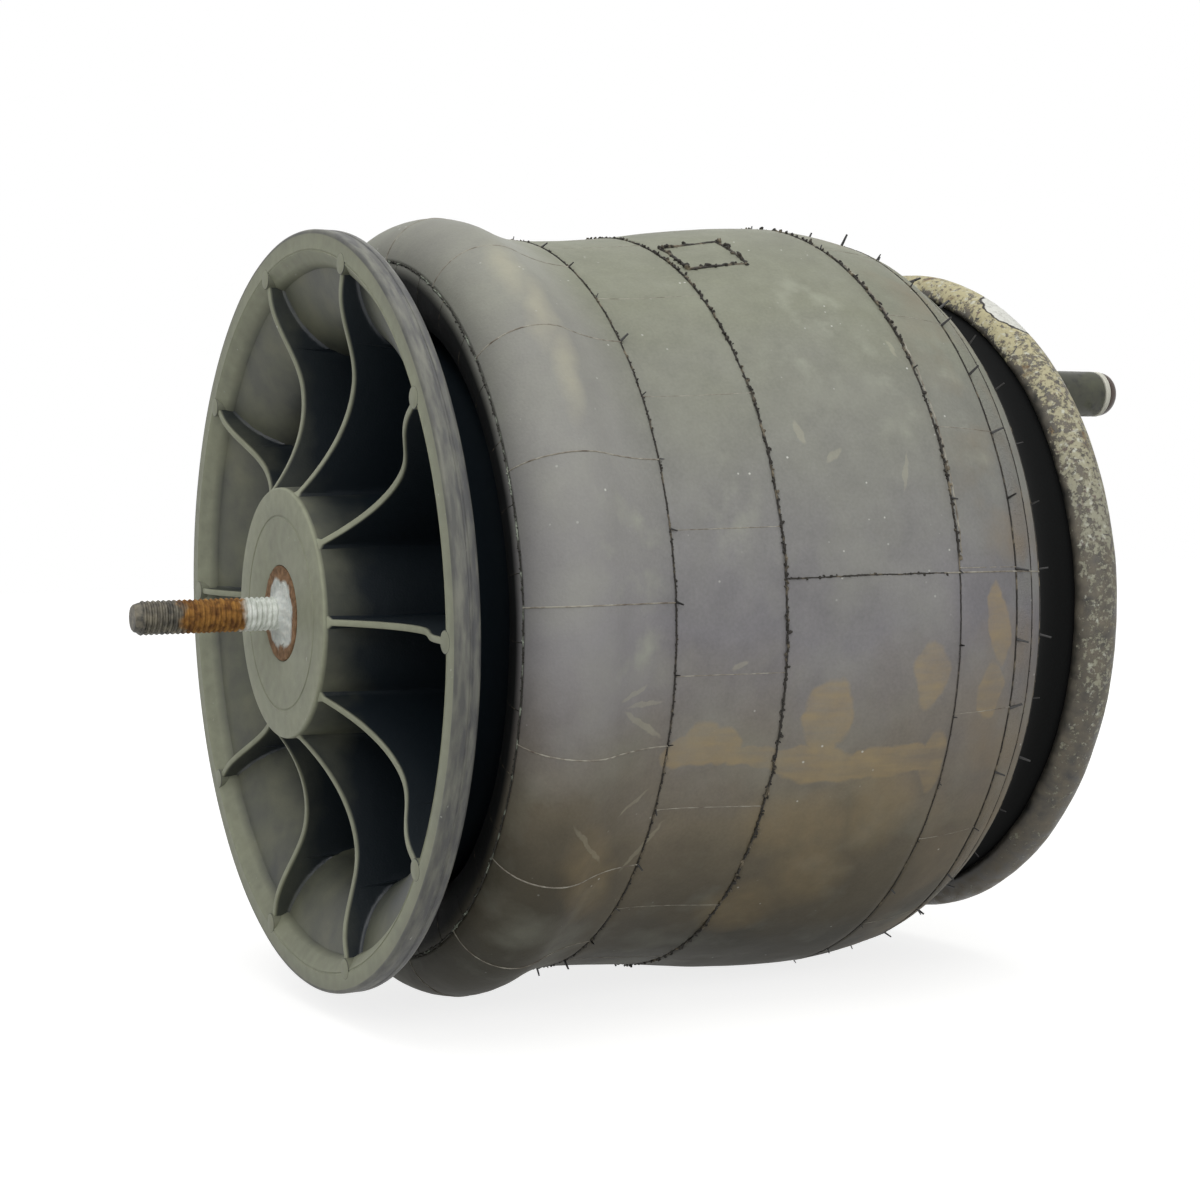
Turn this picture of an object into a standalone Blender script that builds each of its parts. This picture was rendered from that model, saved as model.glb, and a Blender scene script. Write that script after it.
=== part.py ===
"""Rolling-lobe air spring for a truck suspension, modelled lying on its side.

A rubber sleeve is gripped at one end by the rolled rim of a pressed steel bead plate. At the other end
it folds back over a moulded piston, where an end closure clamps its lower bead on the piston's deck.
A long stud ties closure, piston and steel boss insert together and comes out of the piston's foot.

Frame: metres, +Z up. The origin is the centre of the bead plate's flat mounting face, and +X points out
of the plate. The piston lies towards -X. Lengths along the spring are depths, measured from the
mounting face towards the piston, so a depth d lies at x = -d. Profiles are lists of (depth, radius).
"""
from math import asin, atan2, cos, hypot, pi, radians, sin, tau

import bmesh
import bpy
from mathutils import Matrix, Vector

# General values
FIT_GAP = 0.0003            # clearance between pieces that touch
SEGMENTS = 40               # facets round the large turned pieces
SMALL_SEGMENTS = 24         # facets round studs, washers and the bumper
WELD_DISTANCE = 1e-6        # points closer than this are one point
SMOOTH_ANGLE = radians(32)

# Bead plate: a pressed disc whose edge is rolled over the sleeve's upper bead
PLATE_RADIUS = 0.1351
PLATE_THICKNESS = 0.0030
CURL_RADIUS = 0.0100        # outside radius of the rolled rim's section
CURL_LIP_ANGLE = radians(20)  # where the rolled sheet ends, short of a half turn
CURL_STEPS = 8

# Plate studs, on one diameter of the plate
STUD_CIRCLE_RADIUS = 0.1040
STUD_ANGLE = radians(129.5)  # from +Y towards +Z, for the air inlet stud
STUD_HEIGHT = 0.0440         # stands out of the mounting face
INLET_STUD_RADIUS = 0.0093
INLET_BORE_RADIUS = 0.0055
PLAIN_STUD_RADIUS = 0.00635
STUD_HEAD_RADIUS = 0.0140
STUD_HEAD_THICKNESS = 0.0045
STUD_CHAMFER = 0.0012

# Plug that closes the inlet for transport
PLUG_SHANK_LENGTH = 0.0110
PLUG_DOME_HEIGHT = 0.0060
PLUG_HEAD_RADIUS = 0.0090
PLUG_WASHER_THICKNESS = 0.0024

# Rubber sleeve, seen from outside: radius at each named depth
RUBBER_WALL = 0.0070
NECK_DEPTH = 0.0260
NECK_RADIUS = 0.1234
SHOULDER_DEPTH = 0.0440      # the sharp moulded edge beside the neck
SHOULDER_RADIUS = 0.1374
SLOPE_DEPTH = 0.0622
SLOPE_RADIUS = 0.1467
BELLY_DEPTH = 0.0898
BELLY_RADIUS = 0.1503
WAIST_DEPTH = 0.1999
WAIST_RADIUS = 0.1408
LOBE_DEPTH = 0.2310          # centre of the rolled fold
LOBE_RADIUS = 0.1476         # widest radius of the rolled fold
LOBE_STEPS = 9
HOOP_RADIUS = 0.0028         # wire bundle in each bead, across its corners
HOOP_SIDES = 6
LOWER_BEAD_RADIUS = 0.0065

# Piston, a moulded plastic bucket with its mouth away from the plate
PISTON_RADIUS = 0.1050
PISTON_WALL = 0.0040
PISTON_DRAFT = radians(0.7)
DECK_DEPTH = 0.1120
DECK_THICKNESS = 0.0060
DECK_CORNER = 0.0140
MOUTH_DEPTH = 0.2800
RIM_RADIUS = 0.1412
RIM_THICKNESS = 0.0095
RIM_LIP_WIDTH = 0.0090       # flat ring round the mouth
RIM_ROUND = 0.0024
FLARE_LENGTH = 0.0245        # length in which the wall opens out to the rim
FLARE_STEPS = 5
BOSS_DEPTH = 0.2892          # the seat face stands proud of the mouth
BOSS_RADIUS = 0.0466
BOSS_CHAMFER = 0.0008
BOSS_WELL_RADIUS = 0.0190

# Piston ribs
RIB_COUNT = 10
RIB_FIRST_ANGLE = radians(3.8)
RIB_EDGE_THICKNESS = 0.0024
RIB_ROOT_THICKNESS = 0.0042
RIB_LAND = 0.0070            # straight stretch of the free edge beside the rim
RIB_DIP = 0.0095             # depth of the scallop below the mouth
RIB_DIP_RADIUS = 0.0880      # radius where the scallop is deepest
RIB_RIM_SETBACK = 0.0006
RIB_BOSS_SETBACK = 0.0012
RIB_SINK = 0.0020            # how far a rib runs into the walls that it joins
RIB_SCALLOP_STEPS = 5

# Boss insert and the long stud
INSERT_RADIUS = 0.0177
INSERT_LENGTH = 0.0270
STUD_RADIUS = 0.00635
STUD_PROJECTION = 0.0555     # beyond the boss's seat face
STUD_HEX = 0.01905           # across flats
STUD_HEX_THICKNESS = 0.0080
LOAD_TUBE_WALL = 0.0040
SEAL_WASHER_RADIUS = 0.0120
SEAL_WASHER_THICKNESS = 0.0015

# End closure: a pressed top hat whose brim clamps the lower bead
CLOSURE_THICKNESS = 0.0035
CLOSURE_HAT_RADIUS = 0.0752
CLOSURE_BRIM = 0.0085        # flat width of the brim
CLOSURE_LIP = 0.0062         # width of the turned-down edge

# Bumper and the dished retainer that it snaps over
RETAINER_RADIUS = 0.0280
RETAINER_FLAT_RADIUS = 0.0160
RETAINER_RISE = 0.0066
RETAINER_THICKNESS = 0.0025
BUMPER_RADIUS = 0.0385
BUMPER_WAIST = 0.0345
BUMPER_NOSE = 0.0240
BUMPER_TRAVEL = 0.0223       # free height between the bumper and the bead plate
BUMPER_LIP_RADIUS = 0.0230
BUMPER_LIP_CLEARANCE = 0.0008
BUMPER_ROOF = 0.0032         # clear height over the stud's head

# Positions that follow
CURL_CENTRE = (CURL_RADIUS, PLATE_RADIUS - CURL_RADIUS)
UPPER_BEAD_RADIUS = CURL_RADIUS - PLATE_THICKNESS - FIT_GAP
LEG_RADIUS = PISTON_RADIUS + FIT_GAP
LOBE_SECTION = (LOBE_RADIUS - LEG_RADIUS) / 2
LOBE_CENTRE = (LOBE_DEPTH, LOBE_RADIUS - LOBE_SECTION)
DECK_CENTRE = (DECK_DEPTH + DECK_CORNER, PISTON_RADIUS - DECK_CORNER)
LOWER_BEAD_CENTRE = (
    DECK_DEPTH - FIT_GAP - LOWER_BEAD_RADIUS,
    CLOSURE_HAT_RADIUS + FIT_GAP + LOWER_BEAD_RADIUS,
)
CLOSURE_SEAT_DEPTH = DECK_DEPTH - FIT_GAP
CLOSURE_TOP_DEPTH = CLOSURE_SEAT_DEPTH - CLOSURE_THICKNESS
RETAINER_SEAT_DEPTH = CLOSURE_TOP_DEPTH - FIT_GAP
RETAINER_TOP_DEPTH = RETAINER_SEAT_DEPTH - RETAINER_THICKNESS
SEAL_TOP_DEPTH = RETAINER_TOP_DEPTH - FIT_GAP - SEAL_WASHER_THICKNESS
HEX_SEAT_DEPTH = SEAL_TOP_DEPTH - FIT_GAP
HEX_TOP_DEPTH = HEX_SEAT_DEPTH - STUD_HEX_THICKNESS
STUD_HOLE_RADIUS = STUD_RADIUS + FIT_GAP
INSERT_TOP_DEPTH = BOSS_DEPTH - INSERT_LENGTH
BUMPER_TOP_DEPTH = PLATE_THICKNESS + BUMPER_TRAVEL


def remove_everything():
    """Start from an empty scene."""
    for item in list(bpy.data.objects):
        bpy.data.objects.remove(item, do_unlink=True)


def finish(name, colour, roughness, metallic=0.0):
    """Return a plain Principled material."""
    material = bpy.data.materials.new(name)
    material.use_nodes = True
    shader = material.node_tree.nodes["Principled BSDF"]
    shader.inputs["Base Color"].default_value = (*colour, 1.0)
    shader.inputs["Roughness"].default_value = roughness
    shader.inputs["Metallic"].default_value = metallic
    material.diffuse_color = (*colour, 1.0)
    return material


def arc(centre, radius, start, end, steps):
    """Points on an arc in the profile plane; angles in radians from the depth axis towards the radius."""
    turn = (end - start) / steps
    return [
        (centre[0] + radius * cos(start + turn * i), centre[1] + radius * sin(start + turn * i))
        for i in range(steps + 1)
    ]


def offset_path(path, distance):
    """Shift an open path to its right by a distance, with mitred corners."""
    shifted = []
    for i, (depth, radius) in enumerate(path):
        before = path[max(i - 1, 0)]
        after = path[min(i + 1, len(path) - 1)]
        normals = []
        for (d0, r0), (d1, r1) in ((before, path[i]), (path[i], after)):
            length = hypot(d1 - d0, r1 - r0)
            if length > WELD_DISTANCE:
                normals.append(((r1 - r0) / length, (d0 - d1) / length))
        total = (sum(n[0] for n in normals), sum(n[1] for n in normals))
        scale = distance * len(normals) / (total[0] ** 2 + total[1] ** 2)
        shifted.append((depth + total[0] * scale, radius + total[1] * scale))
    return shifted


def build_object(name, mesh_data, material, location=(0.0, 0.0, 0.0)):
    """Turn a finished bmesh into a named object."""
    mesh = bpy.data.meshes.new(name)
    mesh_data.to_mesh(mesh)
    mesh_data.free()
    mesh.materials.append(material)
    mesh.shade_smooth()
    mesh.set_sharp_from_angle(angle=SMOOTH_ANGLE)
    item = bpy.data.objects.new(name, mesh)
    item.location = location
    bpy.context.scene.collection.objects.link(item)
    return item


def turned_mesh(profile, segments, closed):
    """Spin a profile round the X axis into a closed mesh."""
    mesh_data = bmesh.new()
    points = [mesh_data.verts.new((-depth, radius, 0.0)) for depth, radius in profile]
    edges = [mesh_data.edges.new(pair) for pair in zip(points, points[1:])]
    if closed:
        edges.append(mesh_data.edges.new((points[-1], points[0])))
    bmesh.ops.spin(
        mesh_data, geom=points + edges, cent=(0, 0, 0), axis=(1, 0, 0), angle=tau, steps=segments,
    )
    bmesh.ops.remove_doubles(mesh_data, verts=mesh_data.verts, dist=WELD_DISTANCE)
    bmesh.ops.dissolve_degenerate(mesh_data, edges=mesh_data.edges, dist=WELD_DISTANCE)
    bmesh.ops.recalc_face_normals(mesh_data, faces=mesh_data.faces)
    return mesh_data


def turned(name, profile, material, segments=SEGMENTS, closed=True, location=(0.0, 0.0, 0.0)):
    """A turned piece; an open profile starts and ends on the axis."""
    return build_object(name, turned_mesh(profile, segments, closed), material, location)


def carry(items, carriage):
    """Parent pieces to an empty without moving them."""
    for item in items:
        item.parent = carriage
        item.location = Vector(item.location) - carriage.location


def carriage(name, depth):
    """An empty on the spring's axis, which marks the sliding joint of what it carries."""
    empty = bpy.data.objects.new(name, None)
    empty.location = (-depth, 0.0, 0.0)
    empty.empty_display_size = 0.05
    bpy.context.scene.collection.objects.link(empty)
    return empty


def stud_place(angle):
    """Centre of a plate stud on the mounting face."""
    return (0.0, STUD_CIRCLE_RADIUS * cos(angle), STUD_CIRCLE_RADIUS * sin(angle))


def cylinder_cutter(name, radius, near_depth, far_depth, centre):
    """A hidden cylinder along X that cuts a hole."""
    profile = [(near_depth, 0.0), (near_depth, radius), (far_depth, radius), (far_depth, 0.0)]
    cutter = build_object(
        name, turned_mesh(profile, SMALL_SEGMENTS, closed=False), finish(name, (1, 0, 0), 0.5), centre,
    )
    cutter.hide_render = True
    cutter.display_type = "WIRE"
    return cutter


def boolean(item, other, operation):
    """Join or cut an object with a hidden helper, by Blender's exact solver."""
    modifier = item.modifiers.new(other.name, "BOOLEAN")
    modifier.object = other
    modifier.operation = operation
    modifier.solver = "EXACT"


def make_bead_plate(material):
    """Pressed disc with its rim rolled round the upper bead, and a hole for each stud."""
    lip_end = CURL_LIP_ANGLE
    outside = arc(CURL_CENTRE, CURL_RADIUS, pi, lip_end, CURL_STEPS)
    inside = arc(CURL_CENTRE, CURL_RADIUS - PLATE_THICKNESS, lip_end, pi, CURL_STEPS)
    profile = [(0.0, 0.0), *outside, *inside, (PLATE_THICKNESS, 0.0)]
    plate = turned("bead_plate", profile, material, closed=False)
    for name, radius, angle in (
        ("inlet_stud_hole", INLET_STUD_RADIUS, STUD_ANGLE),
        ("plain_stud_hole", PLAIN_STUD_RADIUS, STUD_ANGLE + pi),
    ):
        cutter = cylinder_cutter(
            name, radius + FIT_GAP, -PLATE_THICKNESS, 2 * PLATE_THICKNESS, stud_place(angle),
        )
        boolean(plate, cutter, "DIFFERENCE")
    return plate


def headed_stud_profile(radius, bore_radius):
    """A stud with a round head inside the plate, bored through or solid."""
    head_near = PLATE_THICKNESS + FIT_GAP
    head_far = head_near + STUD_HEAD_THICKNESS
    outside = [
        (-STUD_HEIGHT, radius - STUD_CHAMFER),
        (-STUD_HEIGHT + STUD_CHAMFER, radius),
        (head_near, radius),
        (head_near, STUD_HEAD_RADIUS),
        (head_far - STUD_CHAMFER, STUD_HEAD_RADIUS),
        (head_far, STUD_HEAD_RADIUS - STUD_CHAMFER),
    ]
    return [(-STUD_HEIGHT, bore_radius), *outside, (head_far, bore_radius)]


def make_plate_studs(material):
    """The bored air inlet stud and the plain stud opposite to it."""
    inlet = turned(
        "air_inlet_stud", headed_stud_profile(INLET_STUD_RADIUS, INLET_BORE_RADIUS), material,
        segments=SMALL_SEGMENTS, location=stud_place(STUD_ANGLE),
    )
    plain = turned(
        "mounting_stud", headed_stud_profile(PLAIN_STUD_RADIUS, 0.0), material,
        segments=SMALL_SEGMENTS, closed=False, location=stud_place(STUD_ANGLE + pi),
    )
    return [inlet, plain]


def make_inlet_plug(plug_material, washer_material):
    """Domed plug in the inlet's bore, on its sealing washer."""
    washer_near = -STUD_HEIGHT - FIT_GAP
    washer_far = washer_near - PLUG_WASHER_THICKNESS
    head_near = washer_far - FIT_GAP
    shank_radius = INLET_BORE_RADIUS - FIT_GAP
    dome = [
        (head_near - PLUG_DOME_HEIGHT * sin(i * pi / 8), PLUG_HEAD_RADIUS * cos(i * pi / 8))
        for i in range(4)
    ]
    profile = [
        (head_near - PLUG_DOME_HEIGHT, 0.0), *reversed(dome),
        (head_near, shank_radius), (-STUD_HEIGHT + PLUG_SHANK_LENGTH, shank_radius),
        (-STUD_HEIGHT + PLUG_SHANK_LENGTH, 0.0),
    ]
    place = stud_place(STUD_ANGLE)
    plug = turned("inlet_plug", profile, plug_material, SMALL_SEGMENTS, closed=False, location=place)
    ring = [
        (washer_far, INLET_BORE_RADIUS), (washer_far, INLET_STUD_RADIUS),
        (washer_near, INLET_STUD_RADIUS), (washer_near, INLET_BORE_RADIUS),
    ]
    washer = turned("plug_washer", ring, washer_material, SMALL_SEGMENTS, location=place)
    return [plug, washer]


def bead_section(centre, radius, start, end, slit, steps_before, steps_after):
    """Points round a bead from start to end, with the channel that the plies leave for the wire hoop.

    The angles fall from start to end, and slit lies between them.
    """
    hole_radius = HOOP_RADIUS + FIT_GAP
    bead_half = asin(FIT_GAP / radius)
    hole_half = asin(FIT_GAP / hole_radius)
    before = arc(centre, radius, start, slit + bead_half, steps_before)
    channel = [
        (centre[0] + hole_radius * cos(slit + turn), centre[1] + hole_radius * sin(slit + turn))
        for turn in (hole_half, *(tau * i / HOOP_SIDES for i in range(1, HOOP_SIDES)), -hole_half)
    ]
    after = arc(centre, radius, slit - bead_half, end, steps_after)
    return before + channel + after


def sleeve_outer_path():
    """The weather side of the sleeve, from the upper bead over the fold to the lower bead."""
    leave = CURL_LIP_ANGLE * 0.75
    start = (CURL_CENTRE[0] + UPPER_BEAD_RADIUS * cos(leave), CURL_CENTRE[1] + UPPER_BEAD_RADIUS * sin(leave))
    lip_end = CURL_CENTRE[0] + CURL_RADIUS * cos(CURL_LIP_ANGLE)
    neck_exit = (lip_end, (start[1] + NECK_RADIUS) / 2 + FIT_GAP)
    rise = SHOULDER_RADIUS - NECK_RADIUS
    run = SHOULDER_DEPTH - NECK_DEPTH
    neck_curve = [
        (NECK_DEPTH + run * share, NECK_RADIUS + rise * share ** 2) for share in (0.0, 0.35, 0.7, 1.0)
    ]
    flank = [
        (SLOPE_DEPTH, SLOPE_RADIUS),
        (BELLY_DEPTH, BELLY_RADIUS),
        (BELLY_DEPTH + 0.35 * (WAIST_DEPTH - BELLY_DEPTH), WAIST_RADIUS + 0.76 * (BELLY_RADIUS - WAIST_RADIUS)),
        (BELLY_DEPTH + 0.66 * (WAIST_DEPTH - BELLY_DEPTH), WAIST_RADIUS + 0.28 * (BELLY_RADIUS - WAIST_RADIUS)),
        (WAIST_DEPTH, WAIST_RADIUS),
    ]
    lobe_start = radians(118)
    lobe = arc(LOBE_CENTRE, LOBE_SECTION, lobe_start, -pi / 2, LOBE_STEPS)
    corner = arc(DECK_CENTRE, DECK_CORNER + FIT_GAP, pi / 2, pi, 3)
    return [start, neck_exit, *neck_curve, *flank, *lobe, *corner]


def make_sleeve(material):
    """Rubber sleeve with a hoop channel in each bead, open at both ends."""
    weather_side = sleeve_outer_path()
    air_side = offset_path(weather_side[1:], RUBBER_WALL)
    lower = bead_section(LOWER_BEAD_CENTRE, LOWER_BEAD_RADIUS, 0.0, -pi - radians(40), -pi / 2, 2, 3)
    upper = bead_section(CURL_CENTRE, UPPER_BEAD_RADIUS, radians(-70), -tau + radians(35), -pi / 2, 1, 5)
    return turned("sleeve", weather_side + lower + air_side[::-1] + upper, material)


def make_hoops(material):
    """Hexagonal wire bundles inside the two beads."""
    hoops = []
    for name, centre in (("upper_bead_hoop", CURL_CENTRE), ("lower_bead_hoop", LOWER_BEAD_CENTRE)):
        section = arc(centre, HOOP_RADIUS, -pi / 2, -pi / 2 + tau, HOOP_SIDES)[:-1]
        hoops.append(turned(name, section, material))
    return hoops


def flare_curve(steps):
    """Outside of the piston wall where it opens out to the rim."""
    back_depth = MOUTH_DEPTH - RIM_THICKNESS
    start_depth = back_depth - FLARE_LENGTH
    end_radius = RIM_RADIUS - RIM_ROUND
    points = []
    for i in range(steps + 1):
        turn = pi / 2 * i / steps
        points.append((
            start_depth + FLARE_LENGTH * sin(turn),
            PISTON_RADIUS + (end_radius - PISTON_RADIUS) * (1 - cos(turn)),
        ))
    return points


def make_piston(material):
    """Moulded bucket with a flared skirt, a thick centre boss and radial ribs fused in."""
    deck_under = DECK_DEPTH + DECK_THICKNESS
    flare = flare_curve(FLARE_STEPS)
    flare_inside = offset_path(flare, PISTON_WALL)
    mouth_radius = RIM_RADIUS - RIM_LIP_WIDTH
    inner_root = PISTON_RADIUS - PISTON_WALL - (flare[0][0] - deck_under) * sin(PISTON_DRAFT)
    corner = arc(DECK_CENTRE, DECK_CORNER, pi, pi / 2, 3)
    boss_root = BOSS_RADIUS + (BOSS_DEPTH - deck_under) * sin(PISTON_DRAFT) * 2
    rim = [
        (MOUTH_DEPTH - RIM_THICKNESS + RIM_ROUND, RIM_RADIUS),
        (MOUTH_DEPTH - RIM_ROUND, RIM_RADIUS),
        (MOUTH_DEPTH, RIM_RADIUS - RIM_ROUND),
        (MOUTH_DEPTH, mouth_radius),
    ]
    inside = [point for point in reversed(flare_inside) if point[1] < mouth_radius - RIM_ROUND]
    profile = [
        (DECK_DEPTH, BOSS_WELL_RADIUS),
        *corner, *flare, *rim, *inside,
        (deck_under, inner_root),
        (deck_under, boss_root),
        (BOSS_DEPTH - BOSS_CHAMFER, BOSS_RADIUS),
        (BOSS_DEPTH, BOSS_RADIUS - BOSS_CHAMFER),
        (BOSS_DEPTH, INSERT_RADIUS + FIT_GAP),
        (INSERT_TOP_DEPTH - FIT_GAP, INSERT_RADIUS + FIT_GAP),
        (INSERT_TOP_DEPTH - FIT_GAP, BOSS_WELL_RADIUS),
    ]
    piston = turned("piston", profile, material)
    ribs = make_rib_guide(material, mouth_radius, deck_under, inner_root)
    boolean(piston, ribs, "UNION")
    return piston, ribs


def rib_outline(mouth_radius, deck_under, inner_root):
    """Outline of one rib: (depth, radius), with its scalloped free edge."""
    land_depth = MOUTH_DEPTH - RIB_RIM_SETBACK
    land_radius = mouth_radius - RIB_LAND
    dip_depth = MOUTH_DEPTH - RIB_DIP
    boss_edge_depth = BOSS_DEPTH - RIB_BOSS_SETBACK
    edge = [(land_depth, mouth_radius + RIB_SINK), (land_depth, land_radius)]
    for i in range(1, RIB_SCALLOP_STEPS + 1):
        share = i / RIB_SCALLOP_STEPS
        edge.append((
            land_depth + (dip_depth - land_depth) * (1 - cos(pi * share)) / 2,
            land_radius + (RIB_DIP_RADIUS - land_radius) * share,
        ))
    for i in range(1, RIB_SCALLOP_STEPS + 1):
        share = i / RIB_SCALLOP_STEPS
        edge.append((
            dip_depth + (boss_edge_depth - dip_depth) * share ** 2,
            RIB_DIP_RADIUS + (BOSS_RADIUS - RIB_DIP_RADIUS) * share,
        ))
    root = deck_under - RIB_SINK
    flare = [(depth + RIB_SINK, radius - RIB_SINK) for depth, radius in flare_curve(FLARE_STEPS)]
    wall = [point for point in flare if point[1] < mouth_radius]
    return [
        *edge, (boss_edge_depth, BOSS_RADIUS - RIB_SINK), (root, BOSS_RADIUS - RIB_SINK),
        (root, inner_root), *wall,
    ]


def make_rib_guide(material, mouth_radius, deck_under, inner_root):
    """All ribs as separate drafted slabs, which the piston takes in by a union."""
    outline = rib_outline(mouth_radius, deck_under, inner_root)
    root = deck_under - RIB_SINK
    mesh_data = bmesh.new()
    for number in range(RIB_COUNT):
        turn = Matrix.Rotation(RIB_FIRST_ANGLE + tau * number / RIB_COUNT, 4, "X")
        sides = []
        for side in (-0.5, 0.5):
            ring = []
            for depth, radius in outline:
                share = (depth - root) / (MOUTH_DEPTH - root)
                thickness = RIB_ROOT_THICKNESS + (RIB_EDGE_THICKNESS - RIB_ROOT_THICKNESS) * share
                ring.append(mesh_data.verts.new(turn @ Vector((-depth, radius, side * thickness))))
            sides.append(ring)
        low, high = sides
        mesh_data.faces.new(low[::-1])
        mesh_data.faces.new(high)
        count = len(outline)
        for i in range(count):
            j = (i + 1) % count
            mesh_data.faces.new((low[i], low[j], high[j], high[i]))
    bmesh.ops.recalc_face_normals(mesh_data, faces=mesh_data.faces)
    guide = build_object("rib_guide", mesh_data, material)
    guide.hide_render = True
    guide.display_type = "WIRE"
    return guide


def make_end_closure(material):
    """Pressed top hat: its crown lies on the deck and its brim clamps the lower bead."""
    brim_under = LOWER_BEAD_CENTRE[0] - LOWER_BEAD_RADIUS - FIT_GAP
    brim_end = CLOSURE_HAT_RADIUS + CLOSURE_BRIM
    lip_end = brim_end + CLOSURE_LIP
    lip_drop = CLOSURE_LIP * 0.62
    bend = CLOSURE_THICKNESS / 2
    profile = [
        (CLOSURE_SEAT_DEPTH, STUD_HOLE_RADIUS),
        (CLOSURE_SEAT_DEPTH, CLOSURE_HAT_RADIUS - bend),
        (CLOSURE_SEAT_DEPTH - bend, CLOSURE_HAT_RADIUS),
        (brim_under, CLOSURE_HAT_RADIUS),
        (brim_under, brim_end),
        (brim_under + lip_drop, lip_end),
        (brim_under + lip_drop - CLOSURE_THICKNESS, lip_end + bend),
        (brim_under - CLOSURE_THICKNESS, brim_end + bend),
        (brim_under - CLOSURE_THICKNESS, CLOSURE_HAT_RADIUS - bend),
        (brim_under - bend, CLOSURE_HAT_RADIUS - CLOSURE_THICKNESS),
        (CLOSURE_TOP_DEPTH, CLOSURE_HAT_RADIUS - CLOSURE_THICKNESS),
        (CLOSURE_TOP_DEPTH, STUD_HOLE_RADIUS),
    ]
    return turned("end_closure", profile, material)


def make_bumper_retainer(material):
    """Dished washer whose raised edge holds the bumper's lip down."""
    profile = [
        (RETAINER_SEAT_DEPTH, STUD_HOLE_RADIUS),
        (RETAINER_SEAT_DEPTH, RETAINER_FLAT_RADIUS),
        (RETAINER_SEAT_DEPTH - RETAINER_RISE, RETAINER_RADIUS),
        (RETAINER_TOP_DEPTH - RETAINER_RISE, RETAINER_RADIUS - RETAINER_THICKNESS / 2),
        (RETAINER_TOP_DEPTH, RETAINER_FLAT_RADIUS - RETAINER_THICKNESS / 2),
        (RETAINER_TOP_DEPTH, STUD_HOLE_RADIUS),
    ]
    return turned("bumper_retainer", profile, material, segments=SMALL_SEGMENTS)


def make_bumper(material):
    """Hollow-footed rubber stop, snapped over its retainer."""
    foot = RETAINER_SEAT_DEPTH
    rim_under = RETAINER_SEAT_DEPTH - RETAINER_RISE
    slope = RETAINER_RISE / (RETAINER_RADIUS - RETAINER_FLAT_RADIUS)
    lip_top = foot - (BUMPER_LIP_RADIUS - RETAINER_FLAT_RADIUS) * slope + BUMPER_LIP_CLEARANCE
    groove_radius = RETAINER_RADIUS + BUMPER_LIP_CLEARANCE
    groove_top = RETAINER_TOP_DEPTH - RETAINER_RISE - BUMPER_LIP_CLEARANCE
    roof = min(HEX_TOP_DEPTH - BUMPER_ROOF, groove_top - BUMPER_ROOF)
    height = foot - BUMPER_TOP_DEPTH
    waist_depth = foot - 0.42 * height
    profile = [
        (BUMPER_TOP_DEPTH, 0.0),
        (BUMPER_TOP_DEPTH, BUMPER_NOSE * 0.55),
        (BUMPER_TOP_DEPTH + 0.025 * height, BUMPER_NOSE),
        (BUMPER_TOP_DEPTH + 0.11 * height, (BUMPER_NOSE + BUMPER_WAIST) / 2 + 0.002),
        (BUMPER_TOP_DEPTH + 0.25 * height, BUMPER_WAIST + 0.001),
        (waist_depth, BUMPER_WAIST - 0.002),
        (foot - 0.10 * height, BUMPER_RADIUS),
        (foot, BUMPER_RADIUS - 0.001),
        (foot, BUMPER_LIP_RADIUS),
        (lip_top, BUMPER_LIP_RADIUS),
        (rim_under + BUMPER_LIP_CLEARANCE, groove_radius),
        (groove_top, groove_radius),
        (groove_top, BUMPER_LIP_RADIUS),
        (roof, STUD_HEX * 0.75),
        (roof, 0.0),
    ]
    return turned("bumper", profile, material, segments=SMALL_SEGMENTS, closed=False)


def make_seal_washer(material):
    """Bonded washer under the head of the long stud."""
    near = SEAL_TOP_DEPTH
    far = near + SEAL_WASHER_THICKNESS
    profile = [
        (near, STUD_HOLE_RADIUS), (near, SEAL_WASHER_RADIUS),
        (far, SEAL_WASHER_RADIUS), (far, STUD_HOLE_RADIUS),
    ]
    return turned("stud_seal_washer", profile, material, segments=SMALL_SEGMENTS)


def make_piston_stud(material):
    """Long stud with a hexagon head in the air chamber and a threaded end beyond the boss."""
    end = BOSS_DEPTH + STUD_PROJECTION
    profile = [
        (HEX_TOP_DEPTH, 0.0), (HEX_TOP_DEPTH, STUD_HEX / 2), (HEX_SEAT_DEPTH, STUD_HEX / 2),
        (HEX_SEAT_DEPTH, STUD_RADIUS), (end - STUD_CHAMFER, STUD_RADIUS),
        (end, STUD_RADIUS - STUD_CHAMFER), (end, 0.0),
    ]
    mesh_data = turned_mesh(profile, SMALL_SEGMENTS, closed=False)
    for vertex in mesh_data.verts:
        reach = hypot(vertex.co.y, vertex.co.z)
        if reach > STUD_RADIUS + FIT_GAP:
            turn = atan2(vertex.co.z, vertex.co.y) % (pi / 3) - pi / 6
            factor = 1 / cos(turn)
            vertex.co.y *= factor
            vertex.co.z *= factor
    return build_object("piston_stud", mesh_data, material)


def make_boss_insert(material):
    """Steel bush in the boss, flush with the seat face."""
    profile = [
        (INSERT_TOP_DEPTH, STUD_HOLE_RADIUS), (INSERT_TOP_DEPTH, INSERT_RADIUS),
        (BOSS_DEPTH, INSERT_RADIUS), (BOSS_DEPTH, STUD_HOLE_RADIUS),
    ]
    return turned("boss_insert", profile, material)


def make_load_tube(material):
    """Steel tube round the stud that carries its clamping load past the plastic boss."""
    outer = STUD_HOLE_RADIUS + LOAD_TUBE_WALL
    near = DECK_DEPTH
    far = INSERT_TOP_DEPTH - FIT_GAP
    profile = [(near, STUD_HOLE_RADIUS), (near, outer), (far, outer), (far, STUD_HOLE_RADIUS)]
    return turned("load_tube", profile, material, segments=SMALL_SEGMENTS)


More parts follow.
